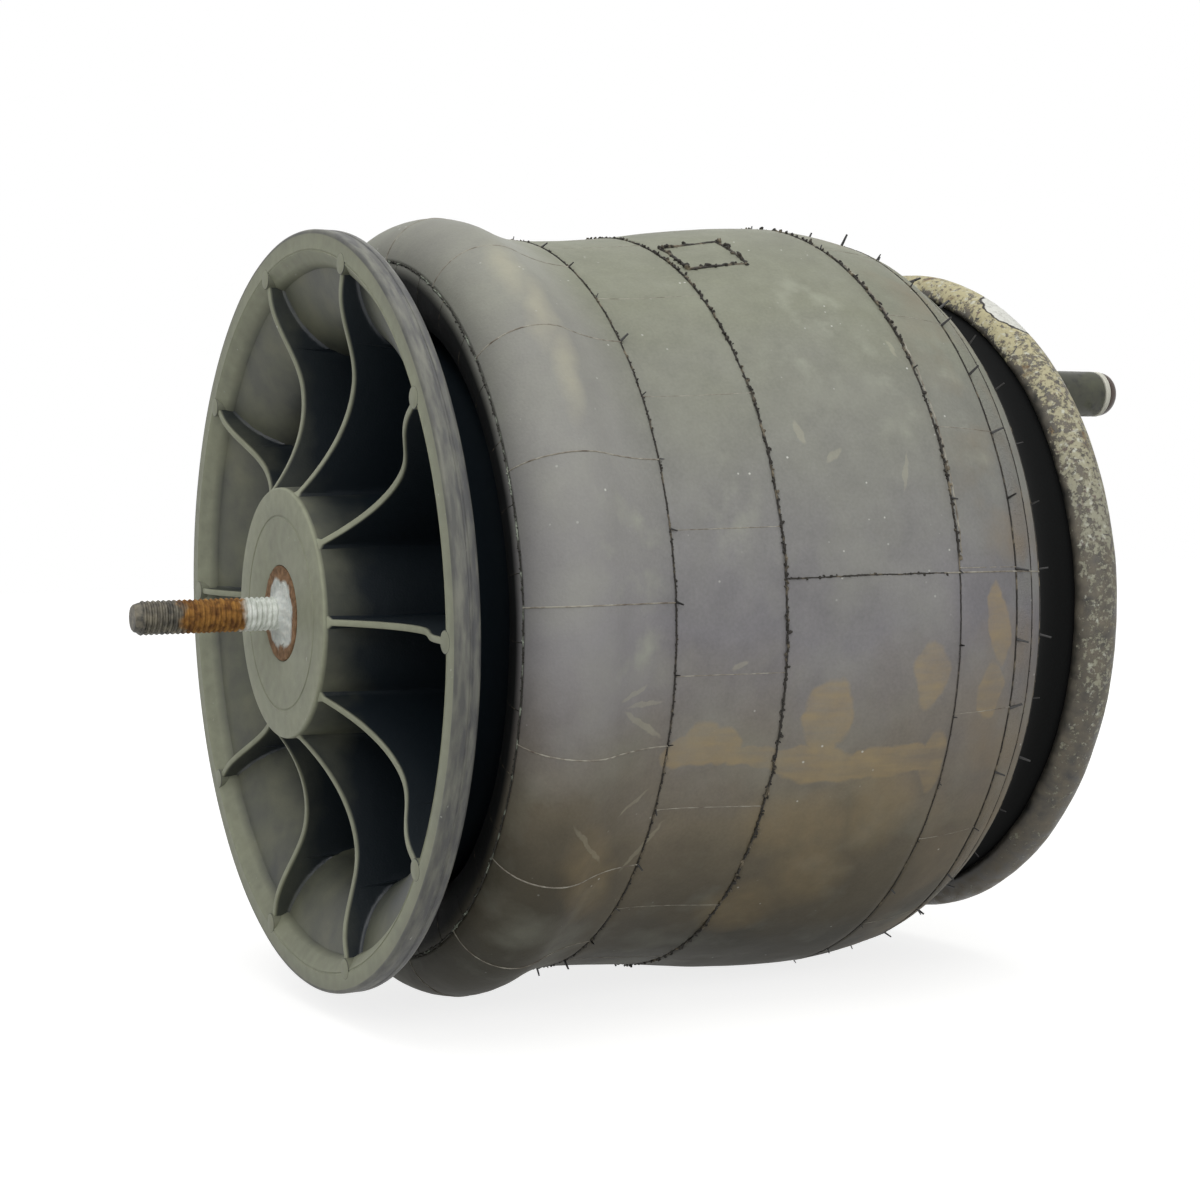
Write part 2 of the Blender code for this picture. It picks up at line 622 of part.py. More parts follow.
def build_air_spring():
    """Make every piece and hang the moving ones on their carriages."""
    black_paint = finish("black_painted_steel", (0.035, 0.035, 0.033), 0.45, 0.2)
    dark_steel = finish("blackened_steel", (0.05, 0.05, 0.05), 0.4, 0.8)
    zinc_steel = finish("zinc_plated_steel", (0.42, 0.42, 0.40), 0.4, 0.9)
    rusty_steel = finish("rusty_steel", (0.22, 0.13, 0.07), 0.75, 0.4)
    hoop_wire = finish("bead_wire", (0.45, 0.36, 0.22), 0.4, 1.0)
    sleeve_rubber = finish("sleeve_rubber", (0.16, 0.16, 0.15), 0.75)
    bumper_rubber = finish("bumper_rubber", (0.02, 0.02, 0.02), 0.7)
    piston_plastic = finish("glass_filled_nylon", (0.12, 0.12, 0.105), 0.55)
    plug_plastic = finish("plug_plastic", (0.06, 0.035, 0.02), 0.5)
    washer_plastic = finish("pale_washer", (0.55, 0.55, 0.48), 0.5)

    make_bead_plate(black_paint)
    make_plate_studs(dark_steel)
    make_inlet_plug(plug_plastic, washer_plastic)

    sleeve = make_sleeve(sleeve_rubber)
    _upper_hoop, lower_hoop = make_hoops(hoop_wire)
    carry([sleeve], carriage("sleeve_carriage", LOBE_DEPTH))

    piston, ribs = make_piston(piston_plastic)
    piston_group = [
        piston, ribs, lower_hoop,
        make_end_closure(zinc_steel),
        make_bumper_retainer(zinc_steel),
        make_bumper(bumper_rubber),
        make_seal_washer(zinc_steel),
        make_piston_stud(rusty_steel),
        make_boss_insert(rusty_steel),
        make_load_tube(zinc_steel),
    ]
    carry(piston_group, carriage("piston_carriage", DECK_DEPTH))


remove_everything()
build_air_spring()
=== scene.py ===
"""Looks of a used rolling-lobe air spring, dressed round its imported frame.

The spring lies on its side along X. Its bead plate looks towards +X, the mouth of its piston towards -X.
A depth is measured from the plate's mounting face towards the piston, so a depth d lies at x = -d.
An angle is measured round the axis from -Y, the side that faces the camera, towards +Z.
Profiles are lists of (depth, radius). All sizes are metres.
"""
from __future__ import annotations

import logging
from bisect import bisect_left
from collections.abc import Callable, Iterable, Mapping, Sequence
from dataclasses import dataclass, field
from enum import Enum
from functools import partial, reduce
from math import atan2, cos, hypot, pi, radians, sin, sqrt, tau

import bmesh
import bpy
from mathutils import Matrix, Vector, noise

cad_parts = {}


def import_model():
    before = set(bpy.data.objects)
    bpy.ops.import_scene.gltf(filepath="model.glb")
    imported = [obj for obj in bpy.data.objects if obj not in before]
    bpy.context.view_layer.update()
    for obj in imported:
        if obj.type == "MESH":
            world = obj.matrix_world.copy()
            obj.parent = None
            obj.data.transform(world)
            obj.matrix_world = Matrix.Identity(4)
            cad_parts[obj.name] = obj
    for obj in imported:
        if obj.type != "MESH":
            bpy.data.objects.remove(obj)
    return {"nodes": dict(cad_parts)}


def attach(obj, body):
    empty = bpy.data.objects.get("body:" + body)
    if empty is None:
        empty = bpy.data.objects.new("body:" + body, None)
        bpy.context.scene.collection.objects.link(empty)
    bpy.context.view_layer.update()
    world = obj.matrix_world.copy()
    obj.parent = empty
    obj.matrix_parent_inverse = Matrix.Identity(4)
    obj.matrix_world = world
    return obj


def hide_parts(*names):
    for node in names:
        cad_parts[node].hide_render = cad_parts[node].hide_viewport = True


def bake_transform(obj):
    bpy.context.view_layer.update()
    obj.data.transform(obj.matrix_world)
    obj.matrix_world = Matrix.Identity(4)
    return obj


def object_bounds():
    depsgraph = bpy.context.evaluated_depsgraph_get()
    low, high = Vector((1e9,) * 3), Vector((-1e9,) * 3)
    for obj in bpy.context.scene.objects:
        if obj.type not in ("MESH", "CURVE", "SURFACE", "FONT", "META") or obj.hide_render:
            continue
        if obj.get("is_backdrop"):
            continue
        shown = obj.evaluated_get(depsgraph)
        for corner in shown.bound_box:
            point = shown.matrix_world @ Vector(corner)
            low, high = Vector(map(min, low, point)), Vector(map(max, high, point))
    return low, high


LOG = logging.getLogger("air_spring")
MM = 0.001
Point = tuple[float, float]
Colour = tuple[float, float, float, float]
Relief = Callable[[float, float, float], float]
Socket = bpy.types.NodeSocket
Value = Socket | float
Paint = Socket | str | Colour
Inputs = Mapping[str | int, object] | Sequence[object]

WRAP_MAP = "wrap"            # UV map: length round the axis and depth, both in metres
WRAP_RADIUS = 0.145          # radius at which a length round the axis is true
REST_PLACE = "rest_place"    # attribute that keeps a point's place before the rubber moves
WEAR_AND_SHADE = "worn"                # attribute: 1 where the surface is rubbed pale, -1 where it is painted in shade
WHITE = (1.0, 1.0, 1.0, 1.0)
WELD_DISTANCE = 1e-6
SMOOTH_ANGLE = radians(38)
FIT_GAP = 0.0003


class Body(Enum):
    """The three bodies of the spring, by the names that the record gives them."""

    PLATE = "bead_plate_body"
    SLEEVE = "sleeve_body"
    PISTON = "piston_body"


@dataclass(frozen=True)
class Stretch:
    """A length of the sleeve that bends between two bodies."""

    near_body: Body
    far_body: Body
    near_depth: float
    far_depth: float

    def hold(self, piece: bpy.types.Object) -> None:
        """Bake the place of a piece of rubber that lies on this stretch into its mesh."""
        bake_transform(piece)


WALL_STRETCH = Stretch(Body.PLATE, Body.SLEEVE, 0.030, 0.2205)
LEG_STRETCH = Stretch(Body.SLEEVE, Body.PISTON, 0.2300, 0.1263)


def linear(code: str) -> Colour:
    """Turn an sRGB hex colour into a linear colour.

    Args:
        code: the colour as #rrggbb.

    Returns:
        Linear red, green, blue and an alpha of 1.
    """
    shares = [int(code[i:i + 2], 16) / 255 for i in (1, 3, 5)]
    return (*(s / 12.92 if s <= 0.04045 else ((s + 0.055) / 1.055) ** 2.4 for s in shares), 1.0)


def set_inputs(node: bpy.types.Node, inputs: Inputs) -> None:
    """Link or set inputs of a node.

    Args:
        node: the node.
        inputs: sockets to link and values to set, by the input's name or number, or in the node's order.
    """
    for key, value in inputs.items() if isinstance(inputs, Mapping) else enumerate(inputs):
        if isinstance(value, Socket):
            node.id_data.links.new(value, node.inputs[key])
        else:
            node.inputs[key].default_value = value


def add_node(
    tree: bpy.types.NodeTree, kind: str, inputs: Inputs = (),
    stops: Sequence[tuple[float, Colour]] = (), **settings: object,
) -> bpy.types.bpy_prop_collection:
    """Add a node with its settings and inputs.

    Args:
        tree: the tree that takes the node.
        kind: the node's type, which for a shader node is written without its first words.
        inputs: as for set_inputs. A MapRange takes its value, where it comes from and where it goes to.
        stops: for a colour ramp, its positions and colours.
        settings: the node's other settings.

    Returns:
        The new node's outputs.
    """
    node = tree.nodes.new(kind if "Node" in kind else f"ShaderNode{kind}")
    for name, value in settings.items():
        setattr(node, name, value)
    set_inputs(node, inputs)
    if stops:
        ramp = node.color_ramp
        while len(ramp.elements) < len(stops):
            ramp.elements.new(1.0)
        for element, (position, colour) in zip(ramp.elements, stops):
            element.position, element.color = position, colour
    return node.outputs


@dataclass(frozen=True)
class Smear:
    """A mark at one place of a surface that is wrapped round the axis."""

    depth: float
    angle: float                # degrees
    length: float               # along its own direction
    width: float
    turn: float = 0.0           # degrees, from the direction round the axis towards the depth


class Coat:
    """A material in the making: its Principled shader, and masks and colours made from the point's place.

    A mask is 1 where it holds and 0 elsewhere.
    """

    def __init__(self, name: str, on_rubber: bool = False) -> None:
        """Start a material.

        Args:
            name: what the finish is.
            on_rubber: True for pieces that bend, which carry their rest place with them.
        """
        self.material = bpy.data.materials.new(name)
        self.material.use_nodes = True
        tree = self.material.node_tree
        tree.nodes.clear()
        self.add = partial(add_node, tree)
        self.shader = tree.nodes.new("ShaderNodeBsdfPrincipled")
        self.add("OutputMaterial", {"Surface": self.shader.outputs[0]})
        if on_rubber:
            self.place = self.add("Attribute", attribute_name=REST_PLACE)["Vector"]
        else:
            self.place = self.add("TexCoord")["Object"]
        self.x, self.y, self.z = self.add("SeparateXYZ", (self.place,))

    @property
    def wrapped(self) -> Socket:
        """The point's place on the map that is wrapped round the axis."""
        return self.add("UVMap", uv_map=WRAP_MAP)[0]

    def ramp(self, value: Value, *span: float) -> Socket:
        """Spread a value: from the first two numbers to the next two, or to 0 and 1."""
        return self.add("MapRange", (value, *span))[0]

    def merge(self, operation: str, *values: Value) -> Socket:
        """Join values by an operation, one after the other, each result kept between 0 and 1."""
        return reduce(lambda a, b: self.add("Math", (a, b), operation=operation, use_clamp=True)[0], values)

    def both(self, *masks: Value) -> Socket:
        """Where all of the masks hold."""
        return self.merge("MULTIPLY", *masks)

    def scaled(self, value: Socket, factor: float, base: Value) -> Socket:
        """A value times a factor, added to a base."""
        return self.add("Math", (value, factor, base), operation="MULTIPLY_ADD")[0]

    def reach(self) -> Socket:
        """How far the point lies from the axis."""
        flat = self.add("CombineXYZ", (0.0, self.y, self.z))[0]
        return self.add("VectorMath", (flat,), operation="LENGTH")["Value"]

    def noise(self, size: float, detail: float, place: Socket | None = None, **more: float) -> Socket:
        """A noise whose lumps are of a size, from 0 to 1."""
        more = {name.title(): value for name, value in more.items()}
        return self.add(
            "TexNoise", {"Vector": place or self.place, "Scale": 1 / size, "Detail": detail, **more},
        )[0]

    def cloud(
        self, size: float, low: float, high: float, detail: float = 3.0, shift: float = 0.0,
        place: Socket | None = None,
    ) -> Socket:
        """Soft patches: 0 below the low level of a noise, 1 above the high one.

        Args:
            size: how wide the patches are.
            low: noise level at which a patch starts.
            high: noise level at which it is full.
            detail: how many finer levels the noise has.
            shift: moves the noise, so that two of them differ.
            place: the coordinates, where they aren't the point's place.

        Returns:
            The mask.
        """
        inputs = {"Vector": place or self.place, "W": shift, "Scale": 1 / size, "Detail": detail}
        return self.ramp(self.add("TexNoise", inputs, noise_dimensions="4D")[0], low, high)

    def smears(self, smears: Sequence[Smear], ragged: float, low: float, high: float) -> Socket:
        """One mask for a group of marks, with ragged edges.

        Args:
            smears: the marks.
            ragged: how far their edges wander.
            low: mask level at which a mark starts to show.
            high: mask level at which it is full.

        Returns:
            The mask.
        """
        wrapped = self.wrapped
        wander = self.add("TexNoise", {"Vector": wrapped, "Scale": 1 / (6 * ragged), "Detail": 4.0})[1]
        centred = self.add("VectorMath", (wander, (0.5, 0.5, 0.5)), operation="SUBTRACT")[0]
        offset = self.add("VectorMath", {0: centred, "Scale": 4 * ragged}, operation="SCALE")[0]
        moved = self.add("VectorMath", (wrapped, offset), operation="ADD")[0]
        masks = []
        for smear in smears:
            local = self.add("Mapping", {
                "Vector": moved, "Location": (radians(smear.angle) * WRAP_RADIUS, smear.depth, 0.0),
                "Rotation": (0.0, 0.0, radians(smear.turn)),
                "Scale": (smear.length / 2, smear.width / 2, 1.0),
            }, vector_type="TEXTURE")[0]
            masks.append(self.add("TexGradient", {"Vector": local}, gradient_type="SPHERICAL")[1])
        return self.ramp(self.merge("MAXIMUM", *masks), low, high)

    def mix(self, mask: Value, below: Paint, above: Paint, mode: str = "MIX") -> Socket:
        """Lay one colour over another.

        Args:
            mask: how much of the upper colour shows.
            below: the lower colour, as a socket, a linear colour or a hex code.
            above: the upper colour.
            mode: how they mix.

        Returns:
            The mixed colour.
        """
        below, above = (linear(colour) if isinstance(colour, str) else colour for colour in (below, above))
        return self.add("Mix", {0: mask, 6: below, 7: above}, data_type="RGBA", blend_type=mode)[2]

    def layers(self, colour: Socket, *layers: tuple[Value, float, str]) -> Socket:
        """Lay colours over each other.

        Args:
            colour: the lowest colour.
            layers: for each layer its mask, how much of it shows, and its colour.

        Returns:
            The mixed colour.
        """
        for mask, share, above in layers:
            colour = self.mix(self.both(mask, share) if share < 1 else mask, colour, above)
        return colour

    def close(
        self, colour: Socket, roughness: Value, relief: Iterable[tuple[Socket, float]],
        more: Mapping[str, Value] | None = None,
    ) -> bpy.types.Material:
        """Give the shader its colour, gloss and fine relief.

        Args:
            colour: its colour.
            roughness: its roughness.
            relief: for each layer of relief, its height from 0 to 1 and how tall it is in metres.
            more: other inputs of the shader.

        Returns:
            The finished material.
        """
        normal = {}
        for height, distance in relief:
            inputs = {"Height": height, "Distance": distance, "Strength": 1.0, **normal}
            normal = {"Normal": self.add("Bump", inputs)[0]}
        set_inputs(self.shader, {**normal, "Base Color": colour, "Roughness": roughness, **(more or {})})
        return self.material


@dataclass(frozen=True)
class Finish:
    """A surface finish, with the record's material slot that it belongs to."""

    slot: str = ""

    def material(self) -> bpy.types.Material:
        """Build the finish's material."""
        raise NotImplementedError


@dataclass(frozen=True)
class WeatheredRubber(Finish):
    """Vulcanised natural rubber, moulded with a matt skin and bloomed grey with age.

    Bloom and road dust give it a dull grey veil, with tan mud smears and pale rubs. Painted shade darkens
    it towards the bottom, inside the roll and, nearly to black, beside the plate.
    """

    slot: str = "sleeve_rubber"
    name: str = "vulcanised_rubber_bloomed"
    # Colours from the top down, painted darker towards the bottom as shade
    top: str = "#909280"
    middle: str = "#918f91"
    lower: str = "#857c6a"
    bottom: str = "#2b2819"
    black: str = "#191a1a"        # painted shade, inside the roll
    neck: str = "#040505"         # nearly black painted shade, beside the plate
    mud: str = "#ab9771"
    rub: str = "#bdb9a2"
    dust: str = "#bdb8a0"
    warm: str = "#8b7d68"
    # Painted light on the roll's upper side
    roll_painted_light: str = "#b0aeac"
    smudge: str = "#a5a698"
    scuff: str = "#b2b4a3"
    speck: str = "#d9d9d2"
    roughness: float = 0.62
    sheen: float = 0.28           # bloom dulls it
    grain: float = 0.9 * MM       # skin grain
    cloud_size: float = 45 * MM   # drifts of bloom
    speck_spacing: float = 6 * MM
    band: tuple[float, float] = (0.0515, 0.0617)  # finely wrinkled band beside the shoulder
    shaded: tuple[float, float] = (0.1262, 0.1316)  # radii between which the painted shade inside the roll ends
    neck_shade_depths: tuple[float, float] = (0.0425, 0.0450)  # depths between which the painted shade beside the plate ends
    half_height: float = 0.150
    # Bloom's own mottling: patch size, noise levels, shift and grey
    mottling: tuple[tuple[float, float, float, float, Colour], ...] = (
        (9 * MM, 0.30, 0.70, 3.0, (0.86, 0.86, 0.87, 1.0)),
        (70 * MM, 0.50, 0.72, 8.0, (0.78, 0.77, 0.81, 1.0)),
        (1.1 * MM, 0.36, 0.66, 11.0, (0.90, 0.90, 0.90, 1.0)),
    )
    mud_smears: tuple[Smear, ...] = (
        Smear(0.1935, -20.6, 0.015, 0.020, 12.0), Smear(0.1865, -19.6, 0.019, 0.022, 10.0),
        Smear(0.1795, -20.0, 0.018, 0.016), Smear(0.1670, -21.9, 0.011, 0.030),
        Smear(0.1520, -22.4, 0.012, 0.026), Smear(0.1400, -23.2, 0.018, 0.040),
        Smear(0.1240, -23.0, 0.013, 0.050), Smear(0.1100, -22.4, 0.015, 0.034),
        Smear(0.1395, -15.0, 0.028, 0.022), Smear(0.1440, -18.5, 0.022, 0.014, 20.0),
        Smear(0.1014, -10.6, 0.028, 0.016), Smear(0.0945, -23.0, 0.030, 0.015),
        Smear(0.0715, -4.0, 0.034, 0.013), Smear(0.0740, -13.5, 0.024, 0.014),
    )
    faint_smears: tuple[Smear, ...] = (
        Smear(0.1307, -42.0, 0.046, 0.040, 10.0), Smear(0.1492, -50.0, 0.040, 0.036),
        Smear(0.1400, -33.0, 0.034, 0.060), Smear(0.1120, -30.0, 0.050, 0.030),
        Smear(0.2200, -40.0, 0.060, 0.024, 20.0),
    )
    rubs: tuple[Smear, ...] = (
        Smear(0.2165, -11.3, 0.0022, 0.0150, 22.0), Smear(0.2120, -13.0, 0.0020, 0.0190),
        Smear(0.2120, -15.8, 0.0026, 0.0260, -34.0), Smear(0.2100, -27.6, 0.0018, 0.0170, 40.0),
        Smear(0.2010, -36.0, 0.0026, 0.0300, 62.0), Smear(0.1755, -8.4, 0.0030, 0.0080, 26.0),
        Smear(0.1342, 20.0, 0.0034, 0.0110, 36.0), Smear(0.1450, 23.6, 0.0120, 0.0036, 10.0),
        Smear(0.1072, 17.2, 0.0180, 0.0022, -18.0), Smear(0.0955, 36.8, 0.0100, 0.0026, 12.0),
        Smear(0.2260, -33.0, 0.0300, 0.0024, 40.0),
    )
    scuffs: tuple[Smear, ...] = (
        Smear(0.1180, 46.0, 0.060, 0.050, 20.0), Smear(0.1350, 34.0, 0.050, 0.036, -20.0),
        Smear(0.1050, 30.0, 0.070, 0.030), Smear(0.0740, 28.0, 0.080, 0.022),
        Smear(0.1750, 14.0, 0.050, 0.030), Smear(0.2150, 8.0, 0.070, 0.040),
        Smear(0.2150, -6.0, 0.040, 0.036),
    )
    dust_streak: tuple[Smear, ...] = (
        Smear(0.2330, 54.0, 0.050, 0.016, -8.0), Smear(0.2300, 44.0, 0.050, 0.014, -10.0),
        Smear(0.2290, 33.0, 0.050, 0.012, -6.0),
    )

    def material(self) -> bpy.types.Material:
        """Build the rubber, whose patterns follow it as it rolls."""
        coat = Coat(self.name, on_rubber=True)
        add, both, cloud, ramp = coat.add, coat.both, coat.cloud, coat.ramp
        depth = add("SeparateXYZ", (coat.wrapped,))[1]
        drift = cloud(self.cloud_size, 0.0, 1.0, 5.0)
        # Height on the spring, with drifts: it paints shade, darker towards the bottom
        height_shading = coat.scaled(drift, 0.22, ramp(coat.z, -self.half_height, self.half_height))
        colour = add("ValToRGB", (height_shading,), stops=(
            (0.18, linear(self.bottom)), (0.37, linear(self.lower)),
            (0.58, linear(self.middle)), (0.98, linear(self.top)),
        ))[0]
        for size, low, high, shift, grey in self.mottling:
            colour = coat.mix(cloud(size, low, high, 6.0, shift), colour, grey, "MULTIPLY")
        brushed = add("Mapping", {"Vector": coat.wrapped, "Scale": (7.0, 1.0, 1.0)})[0]
        strokes = ramp(cloud(26 * MM, 0.36, 0.66, 6.0, 12.0, brushed), 0.0, 1.0, 0.35, 1.0)
        # On the roll: painted light on its upper side, painted shade on its underside
        on_roll = ramp(depth, 0.202, 0.216)
        raised = ramp(height_shading, 0.30, 0.54, -0.55, 0.32)
        roll_underside_shade = add("Math", (raised, -1.0), operation="MULTIPLY")[0]
        patchy = ramp(cloud(5 * MM, 0.20, 0.62, 6.0, 1.0), 0.0, 1.0, 0.50, 0.90)
        mud = both(coat.smears(self.mud_smears, 3.0 * MM, 0.10, 0.24), patchy, strokes)
        scuffed = both(coat.smears(self.scuffs, 5 * MM, 0.0, 0.7), cloud(12 * MM, 0.50, 0.74, 7.0, 15.0))
        cells = add("TexVoronoi", {"Vector": coat.place, "Scale": 1 / self.speck_spacing}, feature="F1")[0]
        colour = coat.layers(
            colour, (both(on_roll, raised), 1.0, self.roll_painted_light), (both(on_roll, roll_underside_shade), 1.0, self.bottom),
            (cloud(26 * MM, 0.50, 0.76, 7.0, 14.0), 0.34, self.smudge),
            (
                both(ramp(depth, 0.096, 0.070, 0.0, 0.62), cloud(24 * MM, 0.42, 0.66, 5.0, 5.0)), 1.0,
                self.warm,
            ),
            (mud, 0.78, self.mud),
            (both(coat.smears(self.faint_smears, 4 * MM, 0.0, 0.6), patchy), 0.34, self.mud),
            (scuffed, 0.55, self.scuff),
            (both(coat.smears(self.dust_streak, 2 * MM, 0.0, 0.8), patchy), 0.5, self.dust),
            (both(coat.smears(self.rubs, 0.7 * MM, 0.10, 0.36), patchy), 0.34, self.rub),
            (
                both(ramp(cells, 0.085, 0.05, 0.0, 0.85), cloud(32 * MM, 0.50, 0.62, 3.0, 4.0)), 1.0,
                self.speck,
            ),
        )
        # Painted shade: dark inside the roll, nearly black beside the plate
        ragged = coat.scaled(drift, 3 * MM, coat.reach())
        out_of_roll_shade = ramp(ragged, *(limit + 1.5 * MM for limit in self.shaded))
        past_neck_shade = ramp(depth, *self.neck_shade_depths)
        colour = coat.mix(past_neck_shade, self.neck, coat.mix(out_of_roll_shade, self.black, colour))

        low_band, high_band = self.band
        in_band = add(
            "Math", (depth, (low_band + high_band) / 2, (high_band - low_band) / 2), operation="COMPARE",
        )[0]
        gloss = ramp(drift, 0.0, 1.0, self.roughness - 0.10, self.roughness + 0.14)
        gloss = coat.merge("MAXIMUM", gloss, coat.merge("SUBTRACT", 1.0, past_neck_shade))
        return coat.close(colour, gloss, (
            (cloud(self.grain, 0.25, 0.75), 0.05 * MM), (cloud(14 * MM, 0.2, 0.8, 2.0, 2.0), 0.25 * MM),
            (both(coat.noise(1.3 * MM, 2.0, distortion=1.2), in_band), 0.6 * MM), (mud, 0.04 * MM),
        ), {"Specular IOR Level": self.sheen})


@dataclass(frozen=True)
class FlashRubber(Finish):
    """Thin torn rubber squeezed out between the mould's parts: dark, with dusty pale crests."""

    slot: str = "sleeve_rubber"
    name: str = "moulding_flash_rubber"
    colour: str = "#292621"
    dust: str = "#857b68"
    dust_low: float = 0.52
    dust_high: float = 0.68
    speck_size: float = 4 * MM
    roughness: float = 0.8

    def material(self) -> bpy.types.Material:
        """Build the flash, dusted in places."""
        coat = Coat(self.name, on_rubber=True)
        dusty = coat.cloud(self.speck_size, self.dust_low, self.dust_high, 4.0)
        colour = coat.mix(dusty, self.colour, self.dust)
        return coat.close(colour, self.roughness, ((coat.cloud(0.7 * MM, 0.2, 0.8), 0.08 * MM),))


@dataclass(frozen=True)
class MouldedNylon(Finish):
    """Glass-filled nylon, injection moulded.

    Painted shade leaves it black deep in the pockets, behind the rim, down the ribs' sides and in the pockets
    on the -Y side. It is bloomed and dusty towards the mouth, and chalky where it is rubbed.
    """

    slot: str = "piston_nylon"
    name: str = "glass_filled_nylon_moulded"
    # Black nylon, shown where painted shade leaves no bloom
    black: str = "#161e24"
    bloom: str = "#70725f"
    shade: str = "#4c4e4a"
    dust: str = "#86866f"
    rubbed: str = "#a7aa92"
    # The rim band's dark tone, its pale streaks of painted highlight, and painted glints
    painted_glint: str = "#d6d7cf"
    band_dark: str = "#434346"
    band_highlight: str = "#74746c"
    # Depths between which the painted shade deep in the pockets gives way to bloom
    shade_depth: float = 0.226
    lit_depth: float = 0.275
    painted_shade_side: tuple[float, float] = (0.03, -0.09)   # y from which the pockets are painted darker as shade
    rim_from: float = 0.1395        # radius at which the rim's outer band starts

    def material(self) -> bpy.types.Material:
        """Build the nylon, whose painted shade, bloom and wear follow the depth, the side and the attribute.
        """
        coat = Coat(self.name)
        both, cloud, ramp = coat.both, coat.cloud, coat.ramp
        worn = coat.add("Attribute", attribute_name=WEAR_AND_SHADE)["Fac"]
        drift = cloud(30 * MM, 0.28, 0.72, 5.0)
        # Painted shade on the pockets' -Y side, added to random drifts
        shaded = ramp(coat.y, *self.painted_shade_side, 0.0, -0.5)
        uneven = coat.add("Math", (coat.scaled(drift, 0.5, -0.25), shaded), operation="ADD")[0]
        # 1 where bloomed and lit, 0 where painted shade leaves the nylon black
        lit_and_bloomed = coat.merge("ADD", ramp(coat.x, -self.shade_depth, -self.lit_depth), uneven, worn)
        patchy = ramp(cloud(5 * MM, 0.25, 0.75, 6.0, 4.0), 0.0, 1.0, 0.60, 1.0)
        on_rim = ramp(coat.reach(), self.rim_from, self.rim_from + 0.5 * MM)
        # Pale streaks round the rim's outer band: painted highlights
        drawn_out = coat.add("Mapping", {"Vector": coat.wrapped, "Scale": (1.0, 6.0, 1.0)})[0]
        highlight_streaks = cloud(11 * MM, 0.40, 0.68, 9.0, 3.0, drawn_out)
        colour = coat.mix(lit_and_bloomed, self.black, coat.mix(drift, self.shade, self.bloom))
        colour = coat.layers(
            colour, (both(cloud(18 * MM, 0.46, 0.74, 6.0, 2.0), lit_and_bloomed), 0.6, self.dust),
            (both(worn, patchy), 1.0, self.rubbed),
        )
        colour = coat.mix(both(on_rim, 0.85), colour, coat.mix(highlight_streaks, self.band_dark, self.band_highlight))
        # Painted glints on the rim band and on rubbed places
        glints = both(cloud(9 * MM, 0.69, 0.73, 8.0, 9.0, drawn_out), on_rim)
        glints = coat.merge("MAXIMUM", glints, both(cloud(3 * MM, 0.70, 0.75, 7.0, 6.0), worn))
        return coat.close(
            coat.mix(glints, colour, self.painted_glint), ramp(lit_and_bloomed, 0.0, 1.0, 0.42, 0.58),
            (
                (cloud(0.8 * MM, 0.25, 0.75, 2.0), 0.035 * MM),
                (cloud(16 * MM, 0.2, 0.8, 2.0, 1.0), 0.2 * MM), (both(highlight_streaks, on_rim), 0.10 * MM),
                (glints, 0.08 * MM),
            ),
        )


@dataclass(frozen=True)
class FlakedPaint(Finish):
    """Black enamel on pressed steel.

    It still shines on the rim's sheltered side, towards the sleeve. Outside it has flaked finely to cream and
    grey-green primer, most of all on top, with specks of rust.
    """

    slot: str = "black_paint"
    name: str = "black_enamel_flaked"
    enamel: str = "#1d2021"
    dusty_enamel: str = "#827a6b"
    primer: str = "#c2ba94"
    chalk: str = "#a3a18e"
    pale_chalk: str = "#d6d8cb"
    speck: str = "#5a474a"
    rust: str = "#6b5238"
    patch: str = "#e4e4dc"
    patch_edge: str = "#2b2622"
    flake_size: float = 2.4 * MM
    half_height: float = 0.135
    flaked_depth: float = 0.0188     # the sheltered side starts here
    white_patch: tuple[Smear, ...] = (
        Smear(0.0080, 55.2, 0.034, 0.015, 4.0), Smear(0.0058, 59.5, 0.020, 0.010, -12.0),
    )

    def material(self) -> bpy.types.Material:
        """Build the paint, more flaked towards the top and outside."""
        coat = Coat(self.name)
        both, cloud, ramp = coat.both, coat.cloud, coat.ramp
        wide = cloud(15 * MM, 0.25, 0.75, 5.0, 9.0)
        edge = -self.flaked_depth
        outside = ramp(coat.scaled(wide, 2 * MM, coat.x), edge - 0.6 * MM, edge + 1.8 * MM, -0.24, 0.0)
        level = ramp(coat.z, -self.half_height, self.half_height, -0.10, 0.12)
        raised = coat.add(
            "Math", (coat.noise(self.flake_size, 9.0, roughness=0.72), level), operation="ADD",
        )[0]
        raised = coat.add("Math", (coat.scaled(wide, 0.16, raised), outside), operation="ADD")[0]
        flaked = ramp(raised, 0.590, 0.650)
        under = coat.layers(
            coat.mix(ramp(coat.z, 0.03, 0.10), self.chalk, self.primer),
            (cloud(2.2 * MM, 0.54, 0.66, 6.0, 3.0), 0.7, self.pale_chalk),
            (cloud(1.8 * MM, 0.56, 0.66, 5.0, 5.0), 0.8, self.speck),
            (cloud(9 * MM, 0.62, 0.72, 6.0, 6.0), 1.0, self.rust),
        )
        dusty = both(ramp(outside, -0.24, -0.04, 0.0, 0.9), cloud(5 * MM, 0.22, 0.72, 7.0, 7.0))
        patch = coat.smears(self.white_patch, 1.8 * MM, 0.12, 0.15)
        colour = coat.layers(
            coat.mix(flaked, coat.mix(dusty, self.enamel, self.dusty_enamel), under),
            (coat.smears(self.white_patch, 1.8 * MM, 0.02, 0.05), 1.0, self.patch_edge),
            (patch, 1.0, self.patch),
        )
        gloss = ramp(coat.merge("MAXIMUM", flaked, patch, dusty), 0.0, 1.0, 0.28, 0.80)
        return coat.close(colour, gloss, (
            (coat.merge("SUBTRACT", 1.0, flaked), 0.10 * MM), (cloud(12 * MM, 0.2, 0.8, 2.0, 1.0), 0.25 * MM),
        ))


